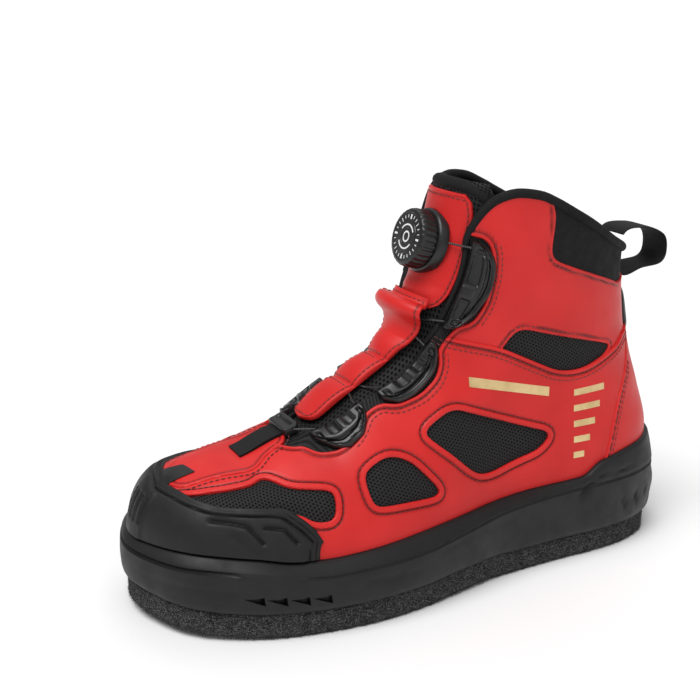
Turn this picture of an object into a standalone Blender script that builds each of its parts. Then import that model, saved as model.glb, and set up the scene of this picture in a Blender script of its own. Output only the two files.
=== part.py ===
"""Left wading boot with a felt sole, a rubber cup midsole, a leather and mesh upper and a lace dial.

Metres, +Z up. The toe points to -Y, the heel to +Y and the outer (lateral) side of the foot to +X.
The shapes are worked out at a sole centred on the axes, and the finished boot is then moved so that
its origin is the middle of the bottom of its bounding box.
"""
import math

import bmesh
import bpy
import numpy as np

MM = 0.001

# Driving sizes
SOLE_LENGTH = 305 * MM
BALL_WIDTH = 118 * MM
HEEL_WIDTH = 88.5 * MM
INSTEP_HEIGHT = 100 * MM
SHAFT_HEIGHT = 186 * MM
FELT_THICKNESS = 12.5 * MM
PLATFORM_THICKNESS = 13.5 * MM
HEEL_LIFT = 5 * MM
TOE_SPRING = 5 * MM
HEEL_SPRING = 1.5 * MM
ARCH_RAISE = 1.2 * MM
RIM_HEIGHT = 12 * MM
RIM_WALL = 2.6 * MM
MIDSOLE_OVERHANG = 3 * MM
GROOVE_DEPTH = 1.3 * MM
GROOVE_LIP = 1.2 * MM
SOLE_BEVEL = 2.2 * MM
UPPER_INSET = 4 * MM
UPPER_WALL = 2.4 * MM
WINDOW_DEPTH = 0.9 * MM
TOE_CAP_WALL = 2.6 * MM
INSOLE_THICKNESS = 4 * MM
TONGUE_WALL = 5 * MM
TONGUE_DROP = 1.2 * MM
LEATHER = 1.6 * MM
WEBBING = 1.5 * MM
GUIDE_HEIGHT = 3 * MM
LACE_DIAMETER = 1.6 * MM
BINDING_DIAMETER = 4.8 * MM
DIAL_DIAMETER = 30 * MM
DIAL_BASE_DIAMETER = 33 * MM
DIAL_BASE_HEIGHT = 3 * MM
DIAL_KNOB_HEIGHT = 9 * MM
KNOB_BEVEL = 1.5 * MM
LOOP_WIDTH = 20 * MM
LOOP_REACH = 30 * MM
STUD_SEAT_DIAMETER = 14 * MM
STUD_HEAD_DIAMETER = 6 * MM
STUD_HEAD_HEIGHT = 1.2 * MM
STUD_TIP_DIAMETER = 2.6 * MM
STUD_RECESS = 3 * MM
BOSS_RISE = 3 * MM
TREAD_RECESS = 0.8 * MM
GAP = 0.3 * MM

# Heights above the ground that several pieces share
FOOT_FLOOR = FELT_THICKNESS + PLATFORM_THICKNESS
WRAP_RADIUS = 30 * MM
# Gap under curved pieces that lie on the upper's curved outside
SEAT = 2 * GAP
SHAFT_AXIS = 0.70
BACK = 180
COLLAR_START = 34


def table(columns, *rows):
    """Name the columns of a short table of rows."""
    return {name: np.array(values, float) for name, values in zip(columns.split(), zip(*rows))}


# Outline of the felt. The widths are shares of half the ball width, then of half the heel width.
SOLE_PLAN = table(
    "along lateral medial",
    (0.018, 0.25, 0.46),
    (0.055, 0.56, 0.70),
    (0.12, 0.78, 0.87),
    (0.20, 0.92, 0.96),
    (0.31, 1.00, 1.00),
    (0.40, 0.985, 0.96),
    (0.50, 0.917, 0.825),
    (0.60, 0.903, 0.834),
    (0.72, 0.991, 0.991),
    (0.82, 0.993, 0.993),
    (0.90, 0.893, 0.893),
    (0.96, 0.627, 0.627),
)
TOE_TIP_ACROSS = -0.10

# Top line of the foot: height above the foot floor as a share of the instep height
RIDGE = table(
    "along height",
    (0.00, 0.457),
    (0.08, 0.457),
    (0.17, 0.495),
    (0.23, 0.556),
    (0.30, 0.630),
    (0.36, 0.762),
    (0.43, 0.910),
    (0.47, 1.000),
    (0.50, 1.076),
    (0.56, 1.139),
    (0.70, 0.885),
    (0.83, 0.673),
    (1.00, 0.334),
)
# How boxy the foot's cross-section is, and its half width over which it rounds
DOME = table(
    "along power round",
    (0.00, 3.4, 0.80),
    (0.12, 2.8, 0.83),
    (0.22, 2.15, 0.87),
    (0.31, 2.0, 0.92),
    (0.45, 1.8, 0.84),
    (0.60, 1.8, 0.70),
    (1.00, 2.0, 0.68),
)
# Level cuts through the shaft: heights are shares of the shaft height above the foot floor,
# back and front are places along the sole, width is a share of the heel width
SHAFT = table(
    "height back front width",
    (0.000, 0.985, 0.630, 0.907),
    (0.180, 0.984, 0.600, 0.920),
    (0.316, 0.962, 0.550, 0.873),
    (0.430, 0.940, 0.490, 0.827),
    (0.533, 0.926, 0.476, 0.800),
    (0.635, 0.918, 0.482, 0.800),
    (0.749, 0.916, 0.506, 0.813),
    (0.852, 0.917, 0.523, 0.827),
    (1.000, 0.917, 0.540, 0.840),
)
SHAFT_POWER = 2.2
ANKLE_BLEND = 12 * MM

# Side of the midsole: groove and rim heights above the foot floor as shares of the rim height
SIDE = table(
    "along groove rim",
    (0.00, 0.87, 1.17),
    (0.06, 0.91, 1.40),
    (0.14, 0.78, 1.25),
    (0.20, 0.52, 1.00),
    (0.26, 0.38, 0.93),
    (0.34, 0.46, 1.03),
    (0.43, 0.56, 1.18),
    (0.51, 0.80, 1.30),
    (0.60, 1.05, 1.42),
    (0.70, 1.20, 1.54),
    (0.77, 1.25, 1.66),
    (0.81, 1.27, 2.20),
    (0.88, 1.29, 2.50),
    (1.00, 1.30, 2.58),
)

# Middle of the boot's front, from the toe cap over the vamp and up the shin to above the collar
FRONT = table(
    "along height",
    (0.100, 0.258),
    (0.170, 0.269),
    (0.230, 0.301),
    (0.300, 0.339),
    (0.360, 0.409),
    (0.430, 0.489),
    (0.465, 0.543),
    (0.478, 0.602),
    (0.485, 0.667),
    (0.500, 0.737),
    (0.520, 0.828),
    (0.535, 0.935),
    (0.540, 1.000),
)

# Edge of the throat: place up the front and distance to the side, as a share of the wrap radius
THROAT = table(
    "up side",
    (0.250, 0.00),
    (0.256, 0.23),
    (0.270, 0.38),
    (0.320, 0.50),
    (0.380, 0.58),
    (0.440, 0.65),
    (0.520, 0.70),
    (0.600, 0.80),
    (0.640, 0.88),
    (0.700, 0.95),
    (0.760, 0.965),
    (0.820, 0.94),
)
# Edge of the collar: degrees round the shaft from its front, share of the shaft height
COLLAR = table(
    "turn height",
    (28, 0.800),
    (34, 0.868),
    (44, 0.911),
    (57, 0.925),
    (72, 0.918),
    (90, 0.892),
    (105, 0.864),
    (120, 0.833),
    (146, 0.763),
    (165, 0.722),
    (180, 0.707),
)
# Where each rib of the upper that starts at a place along the sole ends on the top edge
RIBS = table(
    "along share",
    (0.00, 0.00),
    (0.08, 0.02),
    (0.16, 0.05),
    (0.22, 0.09),
    (0.28, 0.15),
    (0.35, 0.24),
    (0.42, 0.33),
    (0.50, 0.43),
    (0.58, 0.53),
    (0.66, 0.62),
    (0.75, 0.73),
    (0.88, 0.87),
    (1.00, 1.00),
)

# Mesh windows on each side, cut by cut from front to back, each from its top to its low edge.
# Heights are above the foot floor as shares of the instep height
VAMP_WINDOW = table(
    "top_along top_height low_along low_height",
    (0.086, 0.384, 0.092, 0.370),
    (0.125, 0.410, 0.118, 0.370),
    (0.167, 0.429, 0.160, 0.369),
    (0.190, 0.444, 0.200, 0.360),
    (0.219, 0.420, 0.225, 0.330),
    (0.250, 0.410, 0.243, 0.279),
    (0.279, 0.401, 0.269, 0.272),
    (0.286, 0.372, 0.284, 0.320),
)
BALL_WINDOW = table(
    "top_along top_height low_along low_height",
    (0.335, 0.431, 0.340, 0.330),
    (0.342, 0.472, 0.352, 0.300),
    (0.381, 0.525, 0.395, 0.294),
    (0.418, 0.488, 0.435, 0.289),
    (0.447, 0.400, 0.463, 0.285),
    (0.462, 0.345, 0.470, 0.312),
)
ARCH_WINDOW = table(
    "top_along top_height low_along low_height",
    (0.455, 0.609, 0.457, 0.571),
    (0.509, 0.689, 0.500, 0.455),
    (0.550, 0.643, 0.545, 0.341),
    (0.578, 0.611, 0.579, 0.314),
    (0.646, 0.533, 0.632, 0.347),
    (0.690, 0.490, 0.686, 0.381),
    (0.709, 0.470, 0.704, 0.435),
)
ANKLE_WINDOW = table(
    "top_along top_height low_along low_height",
    (0.631, 1.029, 0.611, 0.944),
    (0.650, 1.039, 0.655, 0.892),
    (0.700, 0.994, 0.712, 0.830),
    (0.742, 0.956, 0.752, 0.799),
    (0.800, 0.905, 0.795, 0.836),
    (0.835, 0.877, 0.825, 0.860),
)

# Top edge of the toe cap, for places along its bottom edge. Across is a share of half the ball
# width, height a share of the instep height above the foot floor
TOE_CAP = table(
    "bottom across along height",
    (0.000, 0.00, 0.055, 0.425),
    (0.030, 0.37, 0.082, 0.403),
    (0.070, 0.53, 0.113, 0.386),
    (0.120, 0.645, 0.158, 0.378),
    (0.170, 0.712, 0.198, 0.370),
    (0.200, 0.78, 0.218, 0.327),
    (0.225, 0.86, 0.239, 0.264),
    (0.245, 0.907, 0.250, 0.200),
)

# Pieces on the front of the boot: place up the front, edges as shares of the wrap radius,
# and rise of the piece over its seat as a share of the fold height
TONGUE = table(
    "up left right rise",
    (0.190, -0.33, 0.33, 0),
    (0.230, -0.56, 0.56, 0),
    (0.300, -0.73, 0.73, 0),
    (0.420, -0.88, 0.88, 0),
    (0.540, -1.00, 1.00, 0),
    (0.660, -1.22, 1.22, 0),
    (0.800, -1.32, 1.32, 0),
    (0.930, -1.25, 1.25, 0),
    (0.972, -1.05, 1.05, 0),
)
TONGUE_PLATE = table(
    "up left right rise",
    (0.668, -0.58, 0.58, 0),
    (0.685, -0.76, 0.76, 0),
    (0.720, -0.87, 0.87, 0),
    (0.800, -0.90, 0.90, 0),
    (0.880, -0.89, 0.89, 0),
    (0.920, -0.82, 0.82, 0),
    (0.940, -0.66, 0.66, 0),
)
FOLD_HEIGHT = 8 * MM
TONGUE_STRIP = table(
    "up left right rise",
    (0.285, -0.27, 0.10, 0),
    (0.297, -0.42, 0.22, 0),
    (0.360, -0.42, 0.28, 0),
    (0.420, -0.42, 0.33, 0),
    (0.500, -0.42, 0.36, 0),
    (0.550, -0.45, 0.42, 0.02),
    (0.585, -0.52, 0.54, 0.06),
    (0.615, -0.58, 0.60, 0.20),
    (0.638, -0.60, 0.60, 0.62),
    (0.652, -0.58, 0.58, 1.00),
)
FRONT_WEBBING = table(
    "up left right rise",
    (0.105, -0.22, 0.22, 0),
    (0.245, -0.22, 0.22, 0),
)
GUIDE_FRONT = table(
    "up left right rise",
    (0.218, -0.24, 0.24, 0),
    (0.226, -0.30, 0.30, 0),
    (0.252, -0.30, 0.30, 0),
    (0.260, -0.24, 0.24, 0),
)
GUIDE_LOW = table(
    "up left right rise",
    (0.268, 0.51, 0.66, 0),
    (0.290, 0.55, 0.90, 0),
    (0.320, 0.59, 1.02, 0),
    (0.350, 0.62, 1.02, 0),
    (0.380, 0.65, 0.92, 0),
    (0.398, 0.67, 0.80, 0),
)
GUIDE_MID = table(
    "up left right rise",
    (0.445, 0.71, 0.86, 0),
    (0.470, 0.73, 1.05, 0),
    (0.510, 0.75, 1.13, 0),
    (0.550, 0.78, 1.15, 0),
    (0.585, 0.82, 1.07, 0),
    (0.605, 0.85, 0.96, 0),
)
GUIDE_HIGH = table(
    "up left right rise",
    (0.640, 0.93, 1.06, 0),
    (0.660, 0.98, 1.26, 0),
    (0.700, 1.00, 1.42, 0),
    (0.760, 1.005, 1.50, 0),
    (0.800, 1.00, 1.46, 0),
    (0.830, 0.985, 1.32, 0),
    (0.845, 0.97, 1.12, 0),
)
DIAL_UP = 0.815

# Lace runs: place up the front and side at each end, side as a share of the wrap radius
LACE_HIGH = ((0.655, 0.925), (0.592, 0.79))
LACE_LOW = ((0.457, 0.685), (0.388, 0.62))
LACE_FRONT = ((0.283, 0.495), (0.243, 0.325))
LACE_DIAL = ((0.825, 0.60), (0.830, 0.945))

# Underside: seats of the studs, and rubber tread patches with their half sizes and lobes
STUDS = table(
    "across along",
    (0.49, 0.202),
    (0.12, 0.087),
    (-0.36, 0.087),
    (-0.58, 0.228),
    (0.59, 0.326),
    (0.54, 0.438),
    (-0.56, 0.369),
    (0.32, 0.648),
    (-0.34, 0.645),
    (0.24, 0.785),
    (-0.39, 0.720),
)
TREADS = table(
    "across along half_across half_along lobes depth turn",
    (-0.12, 0.192, 0.30, 0.050, 3, 0.26, 90),
    (0.00, 0.408, 0.33, 0.042, 2, 0.22, 20),
    (0.12, 0.716, 0.23, 0.033, 3, 0.14, 40),
    (-0.22, 0.800, 0.14, 0.028, 4, 0.08, 0),
    (0.02, 0.897, 0.33, 0.044, 2, 0.08, 0),
)
# Small wedges cut low in the lateral side of the midsole
NOTCHES = table("along", (0.135,), (0.168,), (0.203,), (0.238,))
NOTCH_LENGTH = 6 * MM
NOTCH_HEIGHT = 3 * MM
NOTCH_DEPTH = 1.6 * MM

# Seats of the pull loop and its bends, as shares of the shaft height, of the loop's reach and of
# the height between the seats
LOOP_SEATS = (0.755, 0.645)
LOOP_UPPER = table("out rise", (0.45, 0.12), (0.90, -0.10))
LOOP_LOWER = table("out rise", (0.90, 0.18), (0.45, 0.10))
# Outline of the heel tab: degrees from the middle of the back, share of the shaft height
HEEL_TAB = table(
    "turn height",
    (-9, 0.47),
    (9, 0.47),
    (11, 0.53),
    (7, 0.60),
    (-7, 0.60),
    (-11, 0.53),
)
# How far cutting tools reach past what they cut
CUT_PAST = 1 * MM
# Along the front line, the length over which its direction is read, and how far from the axis
# inside it the form's outside may lie
FRONT_SPAN = 12 * MM
FRONT_NEAR = 4 * MM
FRONT_FAR = 75 * MM

# Fineness of the sole's loops and of the upper between its bottom and its top edge
STATIONS = 33
TIP_SHARE = 0.008
TREAD_POINTS = 16
WINDOW_POINTS = 4
RINGS = 12


def smooth(xs, ys, x):
    """Read a smooth curve through the points of a table that never overshoots them."""
    slope = np.diff(ys) / np.diff(xs)
    tangent = np.empty_like(ys)
    tangent[0], tangent[-1] = slope[0], slope[-1]
    product = slope[:-1] * slope[1:]
    total = slope[:-1] + slope[1:]
    tangent[1:-1] = np.where(product > 0, 2 * product / np.where(total == 0, 1, total), 0)
    x = np.clip(x, xs[0], xs[-1])
    i = np.clip(np.searchsorted(xs, x) - 1, 0, len(xs) - 2)
    step = xs[i + 1] - xs[i]
    t = (x - xs[i]) / step
    return ((2 * t**3 - 3 * t**2 + 1) * ys[i] + (t**3 - 2 * t**2 + t) * step * tangent[i]
            + (3 * t**2 - 2 * t**3) * ys[i + 1] + (t**3 - t**2) * step * tangent[i + 1])


def closed_curve(points, per_span=8):
    """Run a smooth closed curve through points."""
    points = np.asarray(points, float)
    t = np.arange(per_span)[:, None] / per_span
    spans = []
    for i in range(len(points)):
        a, b, c, d = (points[(i + k) % len(points)] for k in (-1, 0, 1, 2))
        spans.append(0.5 * (2 * b + (c - a) * t + (2 * a - 5 * b + 4 * c - d) * t**2
                            + (3 * b - 3 * c + d - a) * t**3))
    return np.concatenate(spans)


def ease(low, high, x):
    """Step softly from 0 to 1 as x goes from low to high."""
    t = np.clip((x - low) / (high - low), 0, 1)
    return t * t * (3 - 2 * t)


def to_y(along):
    """Turn a place along the sole, 0 at the toe and 1 at the heel, into y."""
    return (np.asarray(along, float) - 0.5) * SOLE_LENGTH


def to_along(y):
    """Turn y into a place along the sole."""
    return y / SOLE_LENGTH + 0.5


def half_width(along):
    """Half the width that the plan's shares refer to, from the ball's to the heel's."""
    return (BALL_WIDTH + (HEEL_WIDTH - BALL_WIDTH) * ease(0.45, 0.75, along)) / 2


def plan(inset):
    """Outline of the sole, seen from above, moved inward by inset."""
    along = SOLE_PLAN["along"]
    y = to_y(along)
    lateral = np.stack([SOLE_PLAN["lateral"] * half_width(along), y], 1)
    medial = np.stack([-SOLE_PLAN["medial"] * half_width(along), y], 1)
    tip = [(TOE_TIP_ACROSS * BALL_WIDTH / 2, to_y(0))]
    heel = [(0, to_y(1))]
    curve = closed_curve(np.concatenate([tip, lateral, heel, medial[::-1]]))
    ahead = np.roll(curve, -1, 0) - np.roll(curve, 1, 0)
    normal = np.stack([ahead[:, 1], -ahead[:, 0]], 1)
    normal /= np.linalg.norm(normal, axis=1)[:, None]
    return curve - normal * inset


def plan_distance(points, outline):
    """Distance from points to a closed outline, negative inside."""
    nearest = np.full(len(points), 1e9)
    inside = np.zeros(len(points), bool)
    for start, end in zip(outline, np.roll(outline, -1, 0)):
        edge = end - start
        reach = points - start
        t = np.clip(reach @ edge / (edge @ edge), 0, 1)
        nearest = np.minimum(nearest, ((reach - t[:, None] * edge)**2).sum(1))
        spans = (start[1] > points[:, 1]) != (end[1] > points[:, 1])
        if start[1] != end[1]:
            crossing = start[0] + (points[:, 1] - start[1]) / edge[1] * edge[0]
            inside ^= spans & (points[:, 0] < crossing)
    return np.where(inside, -1, 1) * np.sqrt(nearest)


UPPER_OUTLINE = plan(UPPER_INSET)[::2]


def form(points):
    """Positive outside and negative inside the worn shape of the upper, close to a distance."""
    x, y, z = points.T
    along = to_along(y)
    edge = -plan_distance(points[:, :2], UPPER_OUTLINE)
    rounding = np.interp(along, DOME["along"], DOME["round"]) * BALL_WIDTH / 2
    power = smooth(DOME["along"], DOME["power"], along)
    top = smooth(RIDGE["along"], RIDGE["height"], along) * INSTEP_HEIGHT
    out = np.maximum(0, 1 - edge / rounding)
    up = np.maximum(0, (z - FOOT_FLOOR) / top)
    foot = ((out**power + up**power)**(1 / power) - 1) * BALL_WIDTH * 0.4
    level = (z - FOOT_FLOOR) / SHAFT_HEIGHT
    back = to_y(smooth(SHAFT["height"], SHAFT["back"], level))
    front = to_y(smooth(SHAFT["height"], SHAFT["front"], level))
    width = smooth(SHAFT["height"], SHAFT["width"], level) * HEEL_WIDTH / 2
    deep = np.abs(y - (back + front) / 2) / ((back - front) / 2)
    wide = np.abs(x) / width
    shaft = ((wide**SHAFT_POWER + deep**SHAFT_POWER)**(1 / SHAFT_POWER) - 1) * width
    mix = np.clip(0.5 + 0.5 * (shaft - foot) / ANKLE_BLEND, 0, 1)
    return shaft * (1 - mix) + foot * mix - ANKLE_BLEND * mix * (1 - mix)


def gradient(points):
    """Direction and steepness in which the form grows."""
    step = 0.2 * MM
    result = np.empty_like(points)
    for axis in range(3):
        shift = np.zeros(3)
        shift[axis] = step
        result[:, axis] = (form(points + shift) - form(points - shift)) / (2 * step)
    return result


def normals(points):
    """Outward unit normals of the form."""
    steep = gradient(points)
    return steep / np.linalg.norm(steep, axis=1)[:, None]


def settle(points, offset=0.0, locked=None, rounds=7):
    """Move points onto the form, or a small offset outside it. A locked axis keeps its value."""
    points = np.array(points, float)
    for _ in range(rounds):
        steep = gradient(points)
        miss = form(points) - offset * np.linalg.norm(steep, axis=1)
        way = steep.copy()
        if locked is not None:
            way[:, locked] = 0
        points -= way * (miss / (way * steep).sum(1).clip(1e-6))[:, None]
    return points


def cast(origins, directions, near, far):
    """Find where rays leave the form, by halving between a near and a far distance."""
    low = np.full(len(origins), near)
    high = np.full(len(origins), far)
    for _ in range(22):
        middle = (low + high) / 2
        outside = form(origins + directions * middle[:, None]) > 0
        high = np.where(outside, middle, high)
        low = np.where(outside, low, middle)
    return origins + directions * low[:, None]


def lift(along):
    """Height of the felt's underside over the ground: toe spring, arch and heel spring."""
    toe = TOE_SPRING * np.clip((0.27 - along) / 0.27, 0, 1)**2
    arch = ARCH_RAISE * ease(0.42, 0.50, along) * (1 - ease(0.56, 0.64, along))
    heel = HEEL_SPRING * np.clip((along - 0.93) / 0.07, 0, 1)**2
    return toe + arch + heel


def felt_top(along):
    return lift(along) + FELT_THICKNESS


def cup_floor(along):
    """Height of the floor of the cup that the upper stands in."""
    return FOOT_FLOOR - 1.5 * MM + HEEL_LIFT * ease(0.35, 0.75, along)


def groove_height(along):
    return FOOT_FLOOR + smooth(SIDE["along"], SIDE["groove"], along) * RIM_HEIGHT


def rim_height(along):
    return FOOT_FLOOR + smooth(SIDE["along"], SIDE["rim"], along) * RIM_HEIGHT


def station_loop(inset, height, offset=None):
    """Loop round the sole: toe to heel on the lateral side, then back on the medial side.

    The height is a function of the place along the sole. With an offset, the loop lies level on
    the form at that offset instead of at the inset.
    """
    outline = plan(inset)
    toe = outline[:, 1].argmin()
    heel = outline[:, 1].argmax()
    outline = np.roll(outline, -toe, 0)
    heel = (heel - toe) % len(outline)
    sides = (outline[:heel + 1], np.concatenate([outline[heel:], outline[:1]])[::-1])
    halves = []
    for side in sides:
        steps = np.linalg.norm(np.diff(side, axis=0), axis=1)
        reach = np.concatenate([[0], np.cumsum(steps)])
        even = np.linspace(TIP_SHARE, 1 - TIP_SHARE, STATIONS + 1) * reach[-1]
        halves.append(np.stack([np.interp(even, reach, side[:, k]) for k in range(2)], 1))
    flat = np.concatenate([halves[0], halves[1][::-1]])
    loop = np.column_stack([flat, height(to_along(flat[:, 1]))])
    if offset is None:
        return loop
    return settle(loop, offset, locked=2)


def front_line():
    """Middle line of the boot's front with the distance up to each of its points."""
    share = np.linspace(0, 1, 61)
    rows = np.linspace(0, 1, len(FRONT["along"]))
    y = to_y(smooth(rows, FRONT["along"], share))
    z = FOOT_FLOOR + smooth(rows, FRONT["height"], share) * SHAFT_HEIGHT
    line = settle(np.stack([np.zeros_like(y), y, z], 1), locked=0)
    steps = np.linalg.norm(np.diff(line, axis=0), axis=1)
    return line, np.concatenate([[0], np.cumsum(steps)])


FRONT_LINE, FRONT_REACH = front_line()


def front_point(up, side, offset=0.0):
    """Points on the boot's front: a share of the way up it, and the way round to the side.

    The side is an arc in shares of the wrap radius, measured round an axis that runs inside the
    front line, so the same pair of numbers names a place on the upper, the tongue and the plate.
    """
    up, side = np.broadcast_arrays(np.asarray(up, float), np.asarray(side, float))
    reach = up * FRONT_REACH[-1]
    line = np.stack([np.interp(reach, FRONT_REACH, FRONT_LINE[:, k]) for k in range(3)], 1)
    after = np.stack([np.interp(reach + FRONT_SPAN, FRONT_REACH, FRONT_LINE[:, k]) for k in range(3)], 1)
    before = np.stack([np.interp(reach - FRONT_SPAN, FRONT_REACH, FRONT_LINE[:, k]) for k in range(3)], 1)
    ahead = after - before
    ahead /= np.linalg.norm(ahead, axis=1)[:, None]
    outward = np.stack([np.zeros_like(side), -ahead[:, 2], ahead[:, 1]], 1)
    axis = line - outward * WRAP_RADIUS
    spread = outward * np.cos(side)[:, None]
    spread[:, 0] += np.sin(side)
    base = cast(axis, spread, FRONT_NEAR, FRONT_FAR)
    if np.ndim(offset) or offset:
        base = base + normals(base) * np.broadcast_to(offset, len(base))[:, None]
    return base


def side_point(along, height, sign):
    """Points on the side of the boot, given along the sole and above the foot floor."""
    along = np.asarray(along, float)
    height = np.broadcast_to(height, along.shape)
    origin = np.stack([np.zeros_like(along), to_y(along), FOOT_FLOOR + height], 1)
    way = np.zeros_like(origin)
    way[:, 0] = sign
    return cast(origin, way, 0.0, BALL_WIDTH)


def shaft_point(turn, height):
    """Points round the shaft, given in degrees from its front and above the foot floor."""
    angle = np.radians(np.asarray(turn, float))
    height = np.broadcast_to(height, angle.shape)
    centre = np.full_like(angle, to_y(SHAFT_AXIS))
    origin = np.stack([np.zeros_like(angle), centre, FOOT_FLOOR + height], 1)
    way = np.stack([np.sin(angle), -np.cos(angle), np.zeros_like(angle)], 1)
    return cast(origin, way, 2 * MM, SOLE_LENGTH / 2)


def make_object(name, vertices, faces, material=None, split=False):
    """Build one closed body with its faces pointing out, split into triangles if asked."""
    mesh = bpy.data.meshes.new(name)
    mesh.from_pydata([tuple(v) for v in vertices], [], [tuple(f) for f in faces])
    body = bmesh.new()
    body.from_mesh(mesh)
    bmesh.ops.recalc_face_normals(body, faces=body.faces)
    if split:
        bmesh.ops.triangulate(body, faces=body.faces)
    body.to_mesh(mesh)
    body.free()
    mesh.shade_smooth()
    mesh.set_sharp_from_angle(angle=math.radians(38))
    piece = bpy.data.objects.new(name, mesh)
    bpy.context.collection.objects.link(piece)
    if material:
        mesh.materials.append(material)
    else:
        piece.hide_render = True
        piece.display_type = "WIRE"
    return piece


def combine(target, tool, operation):
    """Cut or join a tool into a piece with an exact boolean."""
    modifier = target.modifiers.new(tool.name, "BOOLEAN")
    modifier.operation = operation
    modifier.solver = "EXACT"
    modifier.object = tool


def make_material(name, colour, roughness, metallic=0.0):
    material = bpy.data.materials.new(name)
    material.use_nodes = True
    shader = material.node_tree.nodes["Principled BSDF"]
    shader.inputs["Base Color"].default_value = (*colour, 1)
    shader.inputs["Roughness"].default_value = roughness
    shader.inputs["Metallic"].default_value = metallic
    material.diffuse_color = (*colour, 1)
    return material


def band_faces(count, lower, upper, closed=True):
    """Quads between two rows of vertices, given by the index at which each row starts."""
    last = count if closed else count - 1
    return [(lower + i, lower + (i + 1) % count, upper + (i + 1) % count, upper + i)
            for i in range(last)]


def ladder_faces(count, start):
    """Quads across a station loop, from its lateral to its medial half."""
    return [(start + i, start + i + 1, start + count - 2 - i, start + count - 1 - i)
            for i in range(count // 2 - 1)]


def loft_loops(name, loops, material):
    """Skin station loops one above the other and close the first and the last."""
    count = len(loops[0])
    faces = ladder_faces(count, 0) + ladder_faces(count, count * (len(loops) - 1))
    for k in range(len(loops) - 1):
        faces += band_faces(count, k * count, (k + 1) * count)
    return make_object(name, np.concatenate(loops), faces, material)


def grid_solid(name, outer, inner, material, closed=False):
    """Solid between two grids of points (rows, columns). Closed grids join their last column."""
    rows, columns = outer.shape[:2]
    size = rows * columns
    faces = []
    for base in (0, size):
        for r in range(rows - 1):
            faces += band_faces(columns, base + r * columns, base + (r + 1) * columns, closed)
    faces += band_faces(columns, 0, size, closed)
    faces += band_faces(columns, size - columns, 2 * size - columns, closed)
    if not closed:
        for column in (0, columns - 1):
            for r in range(rows - 1):
                a = r * columns + column
                faces.append((a, a + columns, a + columns + size, a + size))
    vertices = np.concatenate([outer.reshape(-1, 3), inner.reshape(-1, 3)])
    return make_object(name, vertices, faces, material, split=True)


def front_band(name, rows, low, high, material, columns=6, mirrored=False, more=0):
    """Curved sheet on the front of the boot between two offsets from the form."""
    share = np.linspace(0, 1, len(rows["up"]) + more)
    index = np.linspace(0, 1, len(rows["up"]))
    up = smooth(index, rows["up"], share) if more else rows["up"]
    left = np.interp(up, rows["up"], rows["left"])
    right = np.interp(up, rows["up"], rows["right"])
    rise = np.interp(up, rows["up"], rows["rise"]) * FOLD_HEIGHT
    across = np.linspace(0, 1, columns)
    side = left[:, None] + (right - left)[:, None] * across
    if mirrored:
        side = -side
    up_grid = np.broadcast_to(up[:, None], side.shape)
    rise_grid = np.broadcast_to(rise[:, None], side.shape).ravel()
    base = front_point(up_grid.ravel(), side.ravel())
    out = normals(base)
    shape = side.shape + (3,)
    top = (base + out * (high + rise_grid)[:, None]).reshape(shape)
    bottom = (base + out * (low + rise_grid)[:, None]).reshape(shape)
    return grid_solid(name, top, bottom, material)


def patch(name, edge, low, high, material=None, rings=3):
    """Curved plate on the form inside an edge, between two offsets from the form."""
    centre = settle(edge.mean(0)[None])[0]
    rows = [edge]
    for k in range(1, rings):
        rows.append(settle(edge + (centre - edge) * k / rings))
    base = np.concatenate(rows + [centre[None]])
    out = normals(base)
    count = len(edge)
    size = len(base)
    faces = band_faces(count, 0, size)
    for start in (0, size):
        for r in range(rings - 1):
            faces += band_faces(count, start + r * count, start + (r + 1) * count)
        inner = start + (rings - 1) * count
        faces += [(inner + i, inner + (i + 1) % count, start + size - 1) for i in range(count)]
    return make_object(name, np.concatenate([base + out * high, base + out * low]), faces, material)


def tube_data(path, radius, sides):
    """Vertices and faces of a round bar along a path."""
    path = np.asarray(path, float)
    ahead = np.gradient(path, axis=0)
    ahead /= np.linalg.norm(ahead, axis=1)[:, None]
    cross = np.cross(ahead, normals(path))
    cross /= np.linalg.norm(cross, axis=1)[:, None]
    other = np.cross(ahead, cross)
    angle = 2 * np.pi * np.arange(sides) / sides
    ring = (cross[:, None] * np.cos(angle)[None, :, None]
            + other[:, None] * np.sin(angle)[None, :, None])
    vertices = (path[:, None] + ring * radius).reshape(-1, 3)
    faces = [tuple(range(sides)), tuple(range(len(vertices) - sides, len(vertices)))]
    for k in range(len(path) - 1):
        faces += band_faces(sides, k * sides, (k + 1) * sides)
    return vertices, faces


def tube(name, path, radius, sides, material=None):
    vertices, faces = tube_data(path, radius, sides)
    return make_object(name, vertices, faces, material, split=True)


def prisms(name, outlines, bottoms, tops):
    """Upright prisms in one mesh, used to cut holes or to join bosses."""
    vertices = []
    faces = []
    for outline, bottom, top in zip(outlines, bottoms, tops):
        start = len(vertices)
        count = len(outline)
        vertices += [(x, y, bottom) for x, y in outline]
        vertices += [(x, y, top) for x, y in outline]
        faces += band_faces(count, start, start + count)
        faces.append(tuple(range(start, start + count)))
        faces.append(tuple(range(start + count, start + 2 * count)))
    return make_object(name, vertices, faces)


def circle(centre, radius, sides):
    angle = 2 * np.pi * np.arange(sides) / sides
    return np.asarray(centre) + radius * np.stack([np.cos(angle), np.sin(angle)], 1)


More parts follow.
